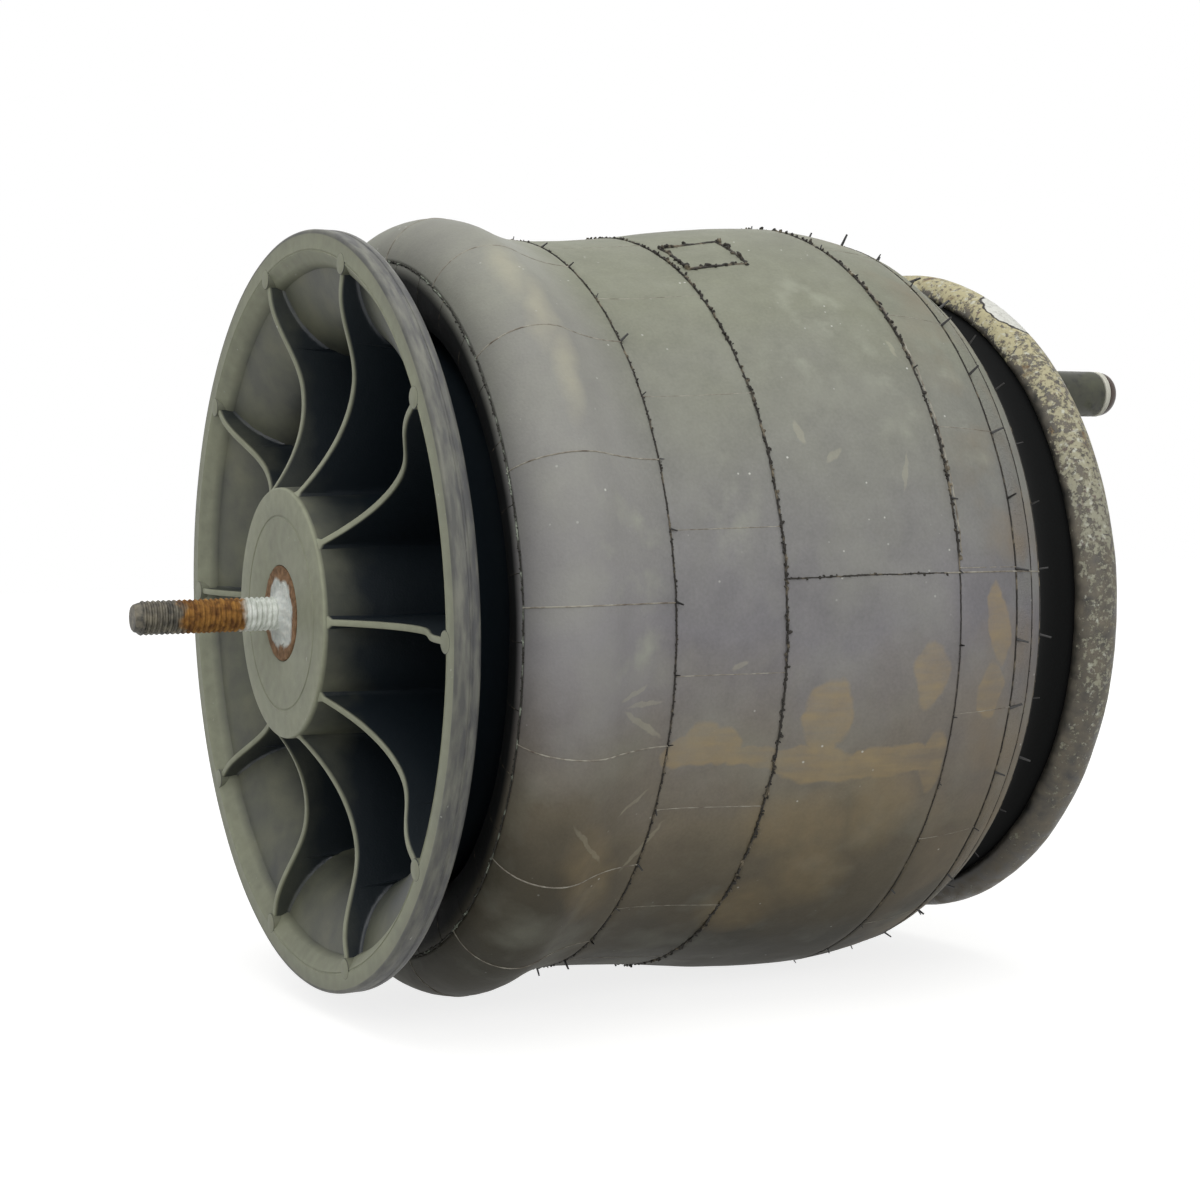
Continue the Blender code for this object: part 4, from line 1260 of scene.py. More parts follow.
@dataclass
class Sleeve:
    """The rubber sleeve with its seams, flash, whiskers and blank label field."""

    paints: Paintbox
    wall: float = 0.0070
    bead_centre: Point = (0.0100, 0.1251)
    bead_radius: float = 0.0067
    neck: tuple[Point, ...] = (
        (0.0165, 0.1268), (0.0194, 0.1254), (0.0260, 0.1234), (0.0326, 0.1252), (0.0388, 0.1303),
    )
    shoulder: Point = (0.0440, 0.1374)
    flank: tuple[Point, ...] = (
        (0.0510, 0.1417), (0.0622, 0.1467), (0.0898, 0.1503), (0.1283, 0.1480),
        (0.1625, 0.1434), (0.1999, 0.1408),
    )
    roll_depth: float = 0.2310
    roll_radius: float = 0.1476
    leg_radius: float = 0.1053
    roll_start: float = 118.0
    deck_centre: Point = (0.1260, 0.0910)
    deck_corner: float = 0.0143
    lower_bead_centre: Point = (0.1052, 0.0820)
    lower_bead_radius: float = 0.0065
    segments: int = 360
    spacing: float = 2.6 * MM
    groove_depth: float = 0.45 * MM
    groove_half: float = 0.9 * MM
    path_step: float = 0.7 * MM
    strip_sink: float = 0.12 * MM
    even_depth: float = 0.0300   # the skin is even beside the plate
    skin_waves: tuple[Point, ...] = ((0.35 * MM, 28.0), (0.10 * MM, 110.0))
    air_side_from: float = 0.0280
    air_side_steps: int = 44
    seams: tuple[Seam, ...] = (
        Seam(
            "shoulder_flash", 0.0446, 0.24 * MM, 0.6, 0.3 * MM, whisker=4.6 * MM, whisker_angle=3.6, lean=0.9,
        ),
        Seam("shoulder_line_flash", 0.0512, 0.17 * MM, 0.5, 0.3 * MM),
        Seam("slope_flash", 0.0622, 0.26 * MM, 0.6, 0.4 * MM, whisker=4.0 * MM, whisker_angle=3.6, lean=0.8),
        Seam(
            "belly_flash_thick", 0.0898, 0.40 * MM, 0.8, 1.6 * MM, crumb=2.6 * MM, lump=0.85 * MM,
            span=(5.4, 172.0),
        ),
        Seam(
            "belly_flash_thin", 0.0898, 0.20 * MM, 0.8, 0.6 * MM, span=(-186.0, 5.6), whisker=1.8 * MM,
            whisker_angle=3.4,
        ),
        Seam("flank_flash", 0.1582, 0.36 * MM, 0.85, 1.5 * MM, crumb=2.4 * MM, lump=0.75 * MM),
        Seam(
            "waist_flash", 0.1999, 0.26 * MM, 0.7, 0.6 * MM, crumb=2.0 * MM, lump=0.42 * MM, whisker=3.0 * MM,
            whisker_angle=0.6,
        ),
        Seam(
            "roll_flash", 0.0, 0.24 * MM, 0.8, 0.7 * MM, surface=Surface.PITTED_LINE, roll_angle=12.0,
            crumb=1.6 * MM, lump=0.42 * MM,
        ),
    )
    lip_span: tuple[float, float] = (6.0, 60.0)
    lip_offset: float = 1.3 * MM
    label_depths: tuple[float, float] = (0.1300, 0.1540)
    label_angles: tuple[float, float] = (58.0, 67.5)
    line_crumb: float = 2.2 * MM
    skin: Skin = field(init=False)
    strips: GeometryTree = field(init=False)

    def __post_init__(self) -> None:
        """Lay out the weather side."""
        self.strips = flash_tree()
        section = (self.roll_radius - self.leg_radius) / 2
        self.skin = Skin(
            (*self.neck, self.shoulder, *self.flank), (self.roll_depth, self.roll_radius - section),
            section, self.roll_start,
        )

    def seam_station(self, seam: Seam) -> float:
        """Where a seam crosses the skin's path."""
        if seam.roll_angle is None:
            return self.skin.station(seam.depth)
        return self.skin.roll_station(seam.roll_angle)

    def unevenness(self, depth: float, radius: float, angle: float) -> float:
        """Shallow waves of moulded and aged rubber."""
        return waves(place_at(depth, radius, angle), *self.skin_waves)

    def outer_profile(self) -> list[Point]:
        """The weather side, with a fine groove at each seam."""
        total = self.skin.lengths[-1]
        steps = round(total / self.spacing)
        stations = {total * i / steps: 0.0 for i in range(steps + 1)}
        for middle in {self.seam_station(seam) for seam in self.seams}:
            stations = {s: sink for s, sink in stations.items() if abs(s - middle) > 1.4 * self.groove_half}
            for share, sink in ((-1.0, 0.0), (-0.45, 0.7), (0.0, 1.0), (0.45, 0.7), (1.0, 0.0)):
                stations[middle + share * self.groove_half] = sink * self.groove_depth
        return [self.skin.at(length, sink) for length, sink in sorted(stations.items())]

    def build_wall(self) -> None:
        """The outer wall and the roll, as one closed skin with its air side and upper bead."""
        outer = self.outer_profile()
        total = self.skin.lengths[-1]
        start, count = self.skin.station(self.air_side_from), self.air_side_steps
        inner = [self.skin.at(total + (start - total) * i / count, self.wall) for i in range(count + 1)]
        bead = arc(self.bead_centre, self.bead_radius, -70.0, -325.0, 16)
        outside = set(outer)

        def relief(depth: float, radius: float, angle: float) -> float:
            """The unevenness of the weather side alone."""
            uneven = (depth, radius) in outside and depth > self.even_depth
            return self.unevenness(depth, radius, angle) if uneven else 0.0

        piece = turned("sleeve_wall", [*outer, *inner, *bead], self.segments, relief)
        self.paints.finish(piece, Surface.SLEEVE, WALL_STRETCH, "sleeve")

    def build_leg(self) -> None:
        """The inner leg, from the roll along the piston to the lower bead on its deck."""
        outer = [
            (self.roll_depth, self.leg_radius), *arc(self.deck_centre, self.deck_corner, 90.0, 180.0, 10),
        ]
        bead = arc(self.lower_bead_centre, self.lower_bead_radius, 0.0, -220.0, 18)
        inner = [
            *arc(self.deck_centre, self.deck_corner + self.wall, 175.0, 90.0, 10),
            (self.roll_depth, self.leg_radius + self.wall),
        ]
        piece = turned("sleeve_inner_leg", [*outer, *bead, *inner], 180)
        self.paints.finish(piece, Surface.SLEEVE, LEG_STRETCH)

    def paths(self, name: str, runs: Sequence[Sequence[tuple[float, float]]]) -> bpy.types.Mesh:
        """Paths on the uneven skin.

        Args:
            name: the mesh's name.
            runs: for each path its corners, as lengths along the skin and angles in degrees.

        Returns:
            A mesh of edges.
        """
        points, edges = [], []
        for stops in runs:
            first = len(points)
            for (s0, a0), (s1, a1) in zip(stops, stops[1:]):
                steps = max(3, round(hypot(s1 - s0, radians(a1 - a0) * WRAP_RADIUS) / self.path_step))
                for i in range(steps + 1):
                    depth, radius = self.skin.at(s0 + (s1 - s0) * i / steps, self.strip_sink)
                    angle = radians(a0 + (a1 - a0) * i / steps)
                    rise = self.unevenness(depth, radius, angle) if depth > self.even_depth else 0.0
                    points.append(place_at(depth, radius + rise, angle))
            edges += [(i, i + 1) for i in range(first, len(points) - 1)]
        mesh = bpy.data.meshes.new(name)
        mesh.from_pydata(points, edges, [])
        return mesh

    def lay_flash(self, name: str, runs: Sequence[Sequence[Point]], surface: Surface, **sizes: float) -> None:
        """Lay torn flash along paths on the skin.

        Args:
            name: the piece's name.
            runs: for each path its corners, as lengths along the skin and angles in degrees.
            surface: the flash's finish.
            sizes: inputs of the flash's tree.
        """
        values = {label.replace("_", " ").title(): size for label, size in sizes.items()}
        self.strips.make(name, values, surface, WALL_STRETCH, self.paints, self.paths(name, runs))

    def build_seams(self) -> None:
        """Flash in every seam, and vent whiskers along some of them."""
        whiskers = whisker_ring_tree()
        for number, seam in enumerate(self.seams):
            station = self.seam_station(seam)
            self.lay_flash(
                seam.name, [[(station, angle) for angle in seam.span]], seam.surface, strip_size=seam.strip,
                raggedness=seam.ragged, crumb_length=seam.crumb, wander=seam.wander, lump_size=seam.lump,
                lump_spacing=0.6 * MM + 1.1 * seam.lump, seed=float(number),
            )
            if seam.whisker:
                depth, radius = self.skin.at(station)
                whiskers.make(f"{seam.name}_whiskers", {
                    "Depth": depth, "Radius": radius, "Length": seam.whisker, "Seed": number + 1,
                    "First Angle": radians(seam.whisker_angle), "Lean": seam.lean,
                    "Thickness": 0.22 * MM + 0.06 * seam.whisker,
                }, Surface.WHISKER, WALL_STRETCH, self.paints)

    def build_lines(self) -> None:
        """Fine raised lines where the mould's segments met, and the blank label field's frame."""
        stations = {seam.name: self.seam_station(seam) for seam in self.seams}
        roll, waist, flank, belly, slope, shoulder = (stations[f"{name}_flash{kind}"] for name, kind in (
            ("roll", ""), ("waist", ""), ("flank", ""), ("belly", "_thin"), ("slope", ""), ("shoulder", ""),
        ))
        ribs = (
            Rib("roll_top_lines", (waist, roll), 18, 0.5, 0.32 * MM, 0.25),
            Rib("waist_lines", (flank, waist), 18, 10.4, 0.22 * MM, 0.3),
            Rib("roll_face_lines", (roll, self.skin.roll_station(-22.0)), 36, 5.5, 0.20 * MM, 0.5,
                Surface.FLASH),
            Rib("slope_lines", (slope, belly), 18, 3.8, 0.22 * MM, 0.4),
            Rib("parting_line_rough", (belly + 0.006, flank), 1, 3.2, 0.34 * MM, 0.9, Surface.FLASH,
                1.1 * MM, 0.60 * MM),
            Rib("parting_line_fine", (shoulder, belly + 0.007), 1, 3.2, 0.34 * MM, 0.25),
            Rib("back_parting_line", (shoulder, flank), 1, 183.2, 0.40 * MM, 0.6, Surface.FLASH),
        )
        for number, rib in enumerate(ribs):
            angles = [rib.angle + 360.0 * k / rib.count for k in range(rib.count)]
            self.lay_flash(
                rib.name, [[(stop, angle) for stop in rib.stops] for angle in angles], rib.surface,
                strip_size=rib.strip, raggedness=rib.ragged, crumb_length=self.line_crumb,
                seed=20.0 + number, wander=rib.wander, lump_size=rib.lump,
            )
        near, far = (self.skin.station(depth) for depth in self.label_depths)
        low, high = self.label_angles
        self.lay_flash(
            "label_frame", [[(near, low), (far, low), (far, high), (near, high), (near, low)]],
            Surface.FLASH, strip_size=0.72 * MM, raggedness=0.8, crumb_length=self.line_crumb,
            wander=1.2 * MM, lump_size=1.10 * MM, lump_spacing=1.3 * MM, seed=40.0,
        )
        lip = self.skin.station(self.seams[3].depth - self.lip_offset)
        self.lay_flash(
            "belly_lip", [[(lip, angle) for angle in self.lip_span]], Surface.PALE_LINE,
            strip_size=0.34 * MM, raggedness=0.9, crumb_length=3.4 * MM, wander=1.0 * MM, seed=41.0,
        )

    def build(self) -> None:
        """Make the whole sleeve."""
        self.build_wall()
        self.build_leg()
        self.build_seams()
        self.build_lines()


@dataclass
class Piston:
    """The moulded piston: flared skirt, rounded rim, scalloped ribs and centre boss."""

    paints: Paintbox
    radius: float = 0.1050
    wall: float = 0.0040
    draft: float = radians(0.7)
    boss_draft: float = radians(1.4)
    deck_depth: float = 0.1120
    deck_thickness: float = 0.0060
    deck_corner: float = 0.0140
    mouth_depth: float = 0.2800
    rim_radius: float = 0.1412
    rim_thickness: float = 0.0095
    lip_width: float = 0.0078
    bevel_width: float = 0.0044
    bevel_drop: float = 0.0035
    rim_corner: float = 0.0012
    rim_round: float = 0.0024
    flare_length: float = 0.0245
    boss_depth: float = 0.2892
    boss_radius: float = 0.0466
    well_radius: float = 0.0190
    insert_radius: float = 0.0177
    insert_length: float = 0.0270
    rib_count: int = 10
    rib_first_angle: float = radians(3.8)
    rib_edge: float = 0.0024
    rib_root: float = 0.0042
    rib_land: float = 0.0082
    rib_dip: float = 0.0095
    rib_dip_radius: float = 0.0880
    rib_fillet: float = 0.0012
    rib_round: float = 0.0006
    pad_radius: float = 0.0039
    pad_inset: float = 0.0008
    sink_marks: Point = (0.15 * MM, 40.0)
    segments: int = 288

    @property
    def mouth_radius(self) -> float:
        """Inner radius of the flat ring round the mouth."""
        return self.rim_radius - self.lip_width

    @property
    def deck_under(self) -> float:
        """Depth of the deck's inner side."""
        return self.deck_depth + self.deck_thickness

    def flare(self, steps: int, inset: float = 0.0) -> list[Point]:
        """The wall where it opens out to the rim: a quarter ellipse.

        Args:
            steps: number of steps.
            inset: how far inside the outer surface.

        Returns:
            Points from the wall to the rim.
        """
        start = self.mouth_depth - self.rim_thickness - self.flare_length
        reach = self.rim_radius - self.rim_round - self.radius
        points = []
        for i in range(steps + 1):
            turn = pi / 2 * i / steps
            slope = (reach * sin(turn), self.flare_length * cos(turn))
            size = hypot(*slope)
            points.append((
                start + self.flare_length * sin(turn) + inset * slope[0] / size,
                self.radius + reach * (1 - cos(turn)) - inset * slope[1] / size,
            ))
        return points

    def shell_profile(self) -> tuple[list[Point], list[float]]:
        """The moulding without its ribs, and each point's wear, negative where it is painted in shade."""
        mouth, rim, lip = self.mouth_depth, self.rim_radius, self.mouth_radius
        back, corner = mouth - self.rim_thickness, self.rim_corner
        boss = self.boss_depth
        boss_root = self.boss_radius + (boss - self.deck_under) * sin(self.boss_draft)
        bevel = (mouth - self.bevel_drop, lip - self.bevel_width)
        inner_flare = [p for p in reversed(self.flare(40, self.wall)) if p[1] < bevel[1] - corner]
        inner_root = inner_flare[-1][1] - (inner_flare[-1][0] - self.deck_under) * sin(self.draft)
        fillet = 5 * MM
        parting = back + 0.42 * self.rim_thickness
        groove = 0.34 * MM
        outer_flare = self.flare(28)
        deck_corner = (self.deck_depth + self.deck_corner, self.radius - self.deck_corner)
        # Negative values paint shade: the deck, the skirt's outer flare, the boss's side and the insert's
        # seat
        parts: list[tuple[list[Point], float]] = [
            ([(self.deck_depth, self.well_radius)], -1.0),
            (arc(deck_corner, self.deck_corner, 180, 90, 8), -1.0), (outer_flare[:22], -1.0),
            (outer_flare[22:], -0.55),
            (arc((back + self.rim_round, rim - self.rim_round), self.rim_round, 180, 90, 6)[1:], 0.1),
            (
                [
                    (parting - 2 * groove, rim), (parting - groove, rim - groove),
                    (parting + groove, rim - groove), (parting + 2 * groove, rim),
                ],
                0.1,
            ),
            (arc((mouth - corner, rim - corner), corner, 90, 0, 6), 0.6),
            (
                [
                    (mouth, lip + 0.8 * MM), (mouth - 0.35 * MM, lip + 0.5 * MM),
                    (mouth - 0.35 * MM, lip + 0.15 * MM), (mouth - 0.05 * MM, lip - 0.1 * MM),
                ],
                0.9,
            ),
            ([(mouth - 0.9 * MM, lip - 1.2 * MM), (mouth - 2.6 * MM, lip - 3.4 * MM), bevel], 0.75),
            (inner_flare, 0.0),
            (arc((self.deck_under + fillet, inner_root - fillet), fillet, 90, 180, 6), 0.0),
            (arc((self.deck_under + fillet, boss_root + fillet), fillet, 180, 270, 6), 0.0),
            ([(boss - 14 * MM, self.boss_radius + 14 * MM * sin(self.boss_draft))], -0.6),
            ([(boss - 2 * MM, self.boss_radius + 2 * MM * sin(self.boss_draft))], 0.0),
            (arc((boss - 0.8 * MM, self.boss_radius - 0.8 * MM), 0.8 * MM, 90, 0, 5), 1.0),
            ([(boss, 0.0366), (boss - 0.35 * MM, 0.0363), (boss - 0.35 * MM, 0.0358), (boss, 0.0355)], 0.8),
            (
                [(boss, self.insert_radius + FIT_GAP + MM), (boss - 0.4 * MM, self.insert_radius + FIT_GAP)],
                0.8,
            ),
            (
                [
                    (boss - self.insert_length - FIT_GAP, self.insert_radius + FIT_GAP),
                    (boss - self.insert_length - FIT_GAP, self.well_radius),
                ],
                -1.0,
            ),
        ]
        profile = [point for points, _wear_and_shade in parts for point in points]
        worn = [value for points, value in parts for _point in points]
        return profile, worn

    def unevenness(self, depth: float, radius: float, angle: float) -> float:
        """Sink marks and slight waves of the moulding."""
        return waves(place_at(depth, radius, angle), self.sink_marks)

    def edge_depth(self, radius: float) -> float:
        """Depth of a rib's free edge at a radius: a land, a scallop, then the rise to the boss."""
        land = self.mouth_depth - 0.6 * MM
        land_radius = self.mouth_radius - self.rib_land
        dip = self.mouth_depth - self.rib_dip
        if radius >= land_radius:
            return land
        if radius >= self.rib_dip_radius:
            share = (land_radius - radius) / (land_radius - self.rib_dip_radius)
            return land + (dip - land) * (1 - cos(pi * share)) / 2
        share = min(1.0, (self.rib_dip_radius - radius) / (self.rib_dip_radius - self.boss_radius))
        return dip + (self.boss_depth - 1.2 * MM - dip) * share ** 2

    def fillet_width(self, gap: float) -> float:
        """How much wider a rib is on each side, at a distance from the wall that it joins."""
        short = max(0.0, min(self.rib_fillet, self.rib_fillet - gap))
        return self.rib_fillet - sqrt(max(0.0, self.rib_fillet ** 2 - short ** 2))

    def rib_mesh(self) -> bpy.types.Mesh:
        """One rib as a closed solid with filleted roots and a rounded free edge."""
        flare = self.flare(40, self.wall)
        flare_start = flare[0][0]
        buried = 2 * MM
        deep_radius = flare[0][1] - (flare_start - self.deck_under) * sin(self.draft)
        walls = [(self.deck_under, deep_radius), *flare]

        def wall_gap(depth: float, radius: float) -> float:
            """Distance to the inside of the wall, 0 for a point within the wall."""
            best = self.rib_fillet
            for (d0, r0), (d1, r1) in zip(walls, walls[1:]):
                along = (
                    (depth - d0) * (d1 - d0) + (radius - r0) * (r1 - r0)
                ) / ((d1 - d0) ** 2 + (r1 - r0) ** 2)
                share = min(max(along, 0.0), 1.0)
                best = min(best, hypot(depth - d0 - share * (d1 - d0), radius - r0 - share * (r1 - r0)))
                if d0 <= depth <= d1 and radius > r0 + (r1 - r0) * (depth - d0) / (d1 - d0):
                    return 0.0
            return best

        def root_depth(radius: float) -> float:
            """Depth at which a rib starts, inside the deck or the wall."""
            if radius <= flare[0][1] + buried:
                return self.deck_under - buried
            return next((d - 1.5 * MM for d, r in flare if r >= radius), flare[-1][0])

        near, far = self.boss_radius - buried, self.mouth_radius + buried
        knee = flare[0][1] + buried
        radii = [near + (knee - near) * (1 - cos(pi * i / 34)) / 2 for i in range(35)]
        radii += [knee + (far - knee) * i / 26 for i in range(1, 27)]
        rows = 20
        points, wear_and_shade_values, rings = [], [], []
        for radius in radii:
            edge, root = self.edge_depth(radius), root_depth(radius)
            side = []
            for i in range(rows + 1):
                share = 1 - (1 - i / rows) ** 1.6 if i < rows else 1.0
                depth = root + (edge - 1.4 * MM - root) * share
                # The rib's sides get -0.75, painted shade
                side.append((depth, 0.0, -0.75))
            side += [
                (edge - self.rib_round, 0.0, 0.3), (edge - 0.3 * self.rib_round, 0.3 * self.rib_round, 1.0),
                (edge, self.rib_round, 1.0),
            ]
            left, right = [], []
            for depth, inset, worn in side:
                along = (depth - self.deck_under) / (self.mouth_depth - self.deck_under)
                half = (self.rib_root + (self.rib_edge - self.rib_root) * along) / 2
                boss = self.boss_radius + (self.boss_depth - depth) * sin(self.boss_draft)
                half += max(
                    self.fillet_width(radius - boss), self.fillet_width(wall_gap(depth, radius)),
                    self.fillet_width(depth - self.deck_under),
                )
                half -= inset
                left.append(((-depth, -radius, -half), worn))
                right.append(((-depth, -radius, half), worn))
            ring = [*left, *reversed(right)]
            rings.append(list(range(len(points), len(points) + len(ring))))
            points += [point for point, _wear_and_shade in ring]
            wear_and_shade_values += [worn for _point, worn in ring]
        faces = [rings[0][::-1], rings[-1]]
        for before, after in zip(rings, rings[1:]):
            count = len(before)
            faces += [
                (before[i], before[(i + 1) % count], after[(i + 1) % count], after[i]) for i in range(count)
            ]
        mesh = bpy.data.meshes.new("piston_rib")
        mesh.from_pydata(points, [], faces)
        mesh.attributes.new(WEAR_AND_SHADE, "FLOAT", "POINT").data.foreach_set("value", wear_and_shade_values)
        close_mesh(mesh)
        return mesh

    def pad_mesh(self) -> bpy.types.Mesh:
        """One ejector pad: a round post at a rib's end, flush with the rim's flat ring."""
        top, length = self.mouth_depth + 0.10 * MM, 3.6 * MM
        profile = [
            (top - length, 0.0), (top - length, self.pad_radius), (top - 0.4 * MM, self.pad_radius),
            (top - 0.12 * MM, self.pad_radius - 0.06 * MM), (top, self.pad_radius - 0.35 * MM), (top, 0.0),
        ]
        centre = -(self.mouth_radius - self.pad_inset)
        # -0.5 paints a dark ring of shade just under the pad's top
        worn = (0.3, 0.3, 0.3, -0.5, 0.8, 0.8)
        pad = turned("ejector_pad", profile, 28, worn=worn, centre=(centre, 0.0), closed=False)
        mesh = pad.data
        bpy.data.objects.remove(pad)
        return mesh

    def build(self) -> None:
        """Make the shell, its ribs and the marks on its rim."""
        profile, worn = self.shell_profile()
        shell = turned("piston_shell", profile, self.segments, self.unevenness, worn)
        self.paints.finish(shell, Surface.PISTON, Body.PISTON, "piston")
        repeat, angles = repeat_tree(), {"Count": self.rib_count, "First Angle": pi + self.rib_first_angle}
        for name, mesh in (("piston_ribs", self.rib_mesh()), ("ejector_pads", self.pad_mesh())):
            repeat.make(name, angles, Surface.PISTON, Body.PISTON, self.paints, mesh)


@dataclass
class LongStud:
    """The threaded stud with its steel insert and the crust round its root."""

    paints: Paintbox
    insert_radius: float = 0.0177
    insert_length: float = 0.0270
    seat_depth: float = 0.2892
    tip_depth: float = 0.3447
    hole_radius: float = 0.00665
    radius: float = 0.00635
    pitch: float = 0.001954      # thirteen threads to the inch
    crest: float = 0.72 * MM
    tip_chamfer: float = 2.4 * MM
    hex_size: float = 0.01905
    head_depth: float = 0.0952
    head_thickness: float = 0.0080
    crust_radius: float = 0.0118
    crust_steps: int = 12

    def build_insert(self) -> None:
        """The steel bush whose face lies in the boss, pitted by rust."""
        top = self.seat_depth - self.insert_length
        profile = [
            (top, self.hole_radius), (top, self.insert_radius),
            (self.seat_depth - 0.3 * MM, self.insert_radius),
            *((self.seat_depth, self.insert_radius - 0.4 * MM - 0.8 * MM * i) for i in range(13)),
            (self.seat_depth, self.hole_radius),
        ]
        piece = turned("boss_insert_face", profile, 120)
        for vertex in piece.data.vertices:
            if vertex.co.x < -self.seat_depth + MM:
                vertex.co.x -= 0.35 * MM * max(0.0, noise.noise(vertex.co * 420.0))
        self.paints.finish(piece, Surface.INSERT, Body.PISTON, "boss_insert")

    def build_crust(self) -> None:
        """White salts that have grown on the insert round the stud, thick at its root."""
        reach, steps = self.crust_radius, self.crust_steps
        top = [
            (self.seat_depth + (0.3 + 2.1 * (1 - i / steps) ** 2.2) * MM,
             self.radius - MM + (reach - self.radius + MM) * i / steps)
            for i in range(steps + 1)
        ]
        profile = [(self.seat_depth - MM, self.radius - MM), *top, (self.seat_depth - MM, reach)]
        piece = turned("salt_crust", profile, 96)
        for vertex in piece.data.vertices:
            lump = noise.fractal(vertex.co * 300.0, 1.0, 2.0, 4)
            spread = 1 + 0.28 * noise.noise(vertex.co * 90.0)
            if vertex.co.x < -self.seat_depth:
                vertex.co.x -= 0.55 * MM * lump
                vertex.co.y *= spread
                vertex.co.z *= spread
        self.paints.finish(piece, Surface.INSERT, Body.PISTON)

    def build_stud(self) -> None:
        """The stud's body, with a hexagon head inside the chamber and a thread outside."""
        root = self.radius - self.crest
        head_end = self.head_depth + self.head_thickness
        profile = [
            (self.head_depth, 0.0), (self.head_depth, self.hex_size / 2 - MM),
            (self.head_depth + 0.6 * MM, self.hex_size / 2), (head_end, self.hex_size / 2),
            (head_end, self.radius), (self.seat_depth - 6 * MM, self.radius),
            (self.seat_depth - 5 * MM, root),
            *((self.seat_depth + 1.5 * MM * i, root) for i in range(-3, 35)),
            (self.tip_depth - self.tip_chamfer, root), (self.tip_depth - 0.5 * MM, self.radius - 1.35 * MM),
            (self.tip_depth, self.radius - 1.9 * MM), (self.tip_depth, 0.0),
        ]
        piece = turned("stud_body", profile, 72, closed=False)
        for vertex in piece.data.vertices:
            reach = hypot(vertex.co.y, vertex.co.z)
            if vertex.co.x > -head_end - MM and reach > self.radius + 0.5 * MM:
                factor = 1 / cos(atan2(vertex.co.z, vertex.co.y) % (pi / 3) - pi / 6)
                vertex.co.y *= factor
                vertex.co.z *= factor
        self.paints.finish(piece, Surface.THREAD, Body.PISTON, "piston_stud")
        length = self.tip_depth - 2.2 * MM - (self.seat_depth - 3 * MM)
        thread_tree().make("stud_thread", {
            "Root Radius": root - 0.02 * MM, "Crest Height": self.crest, "Pitch": self.pitch,
            "Turns": length / self.pitch, "Start": (-(self.seat_depth - 3 * MM), 0.0, 0.0),
            "Roughness": 0.35 * MM,
        }, Surface.THREAD, Body.PISTON, self.paints, smooth=True)

    def build(self) -> None:
        """Make the stud, its insert and the crust."""
        self.build_insert()
        self.build_crust()
        self.build_stud()


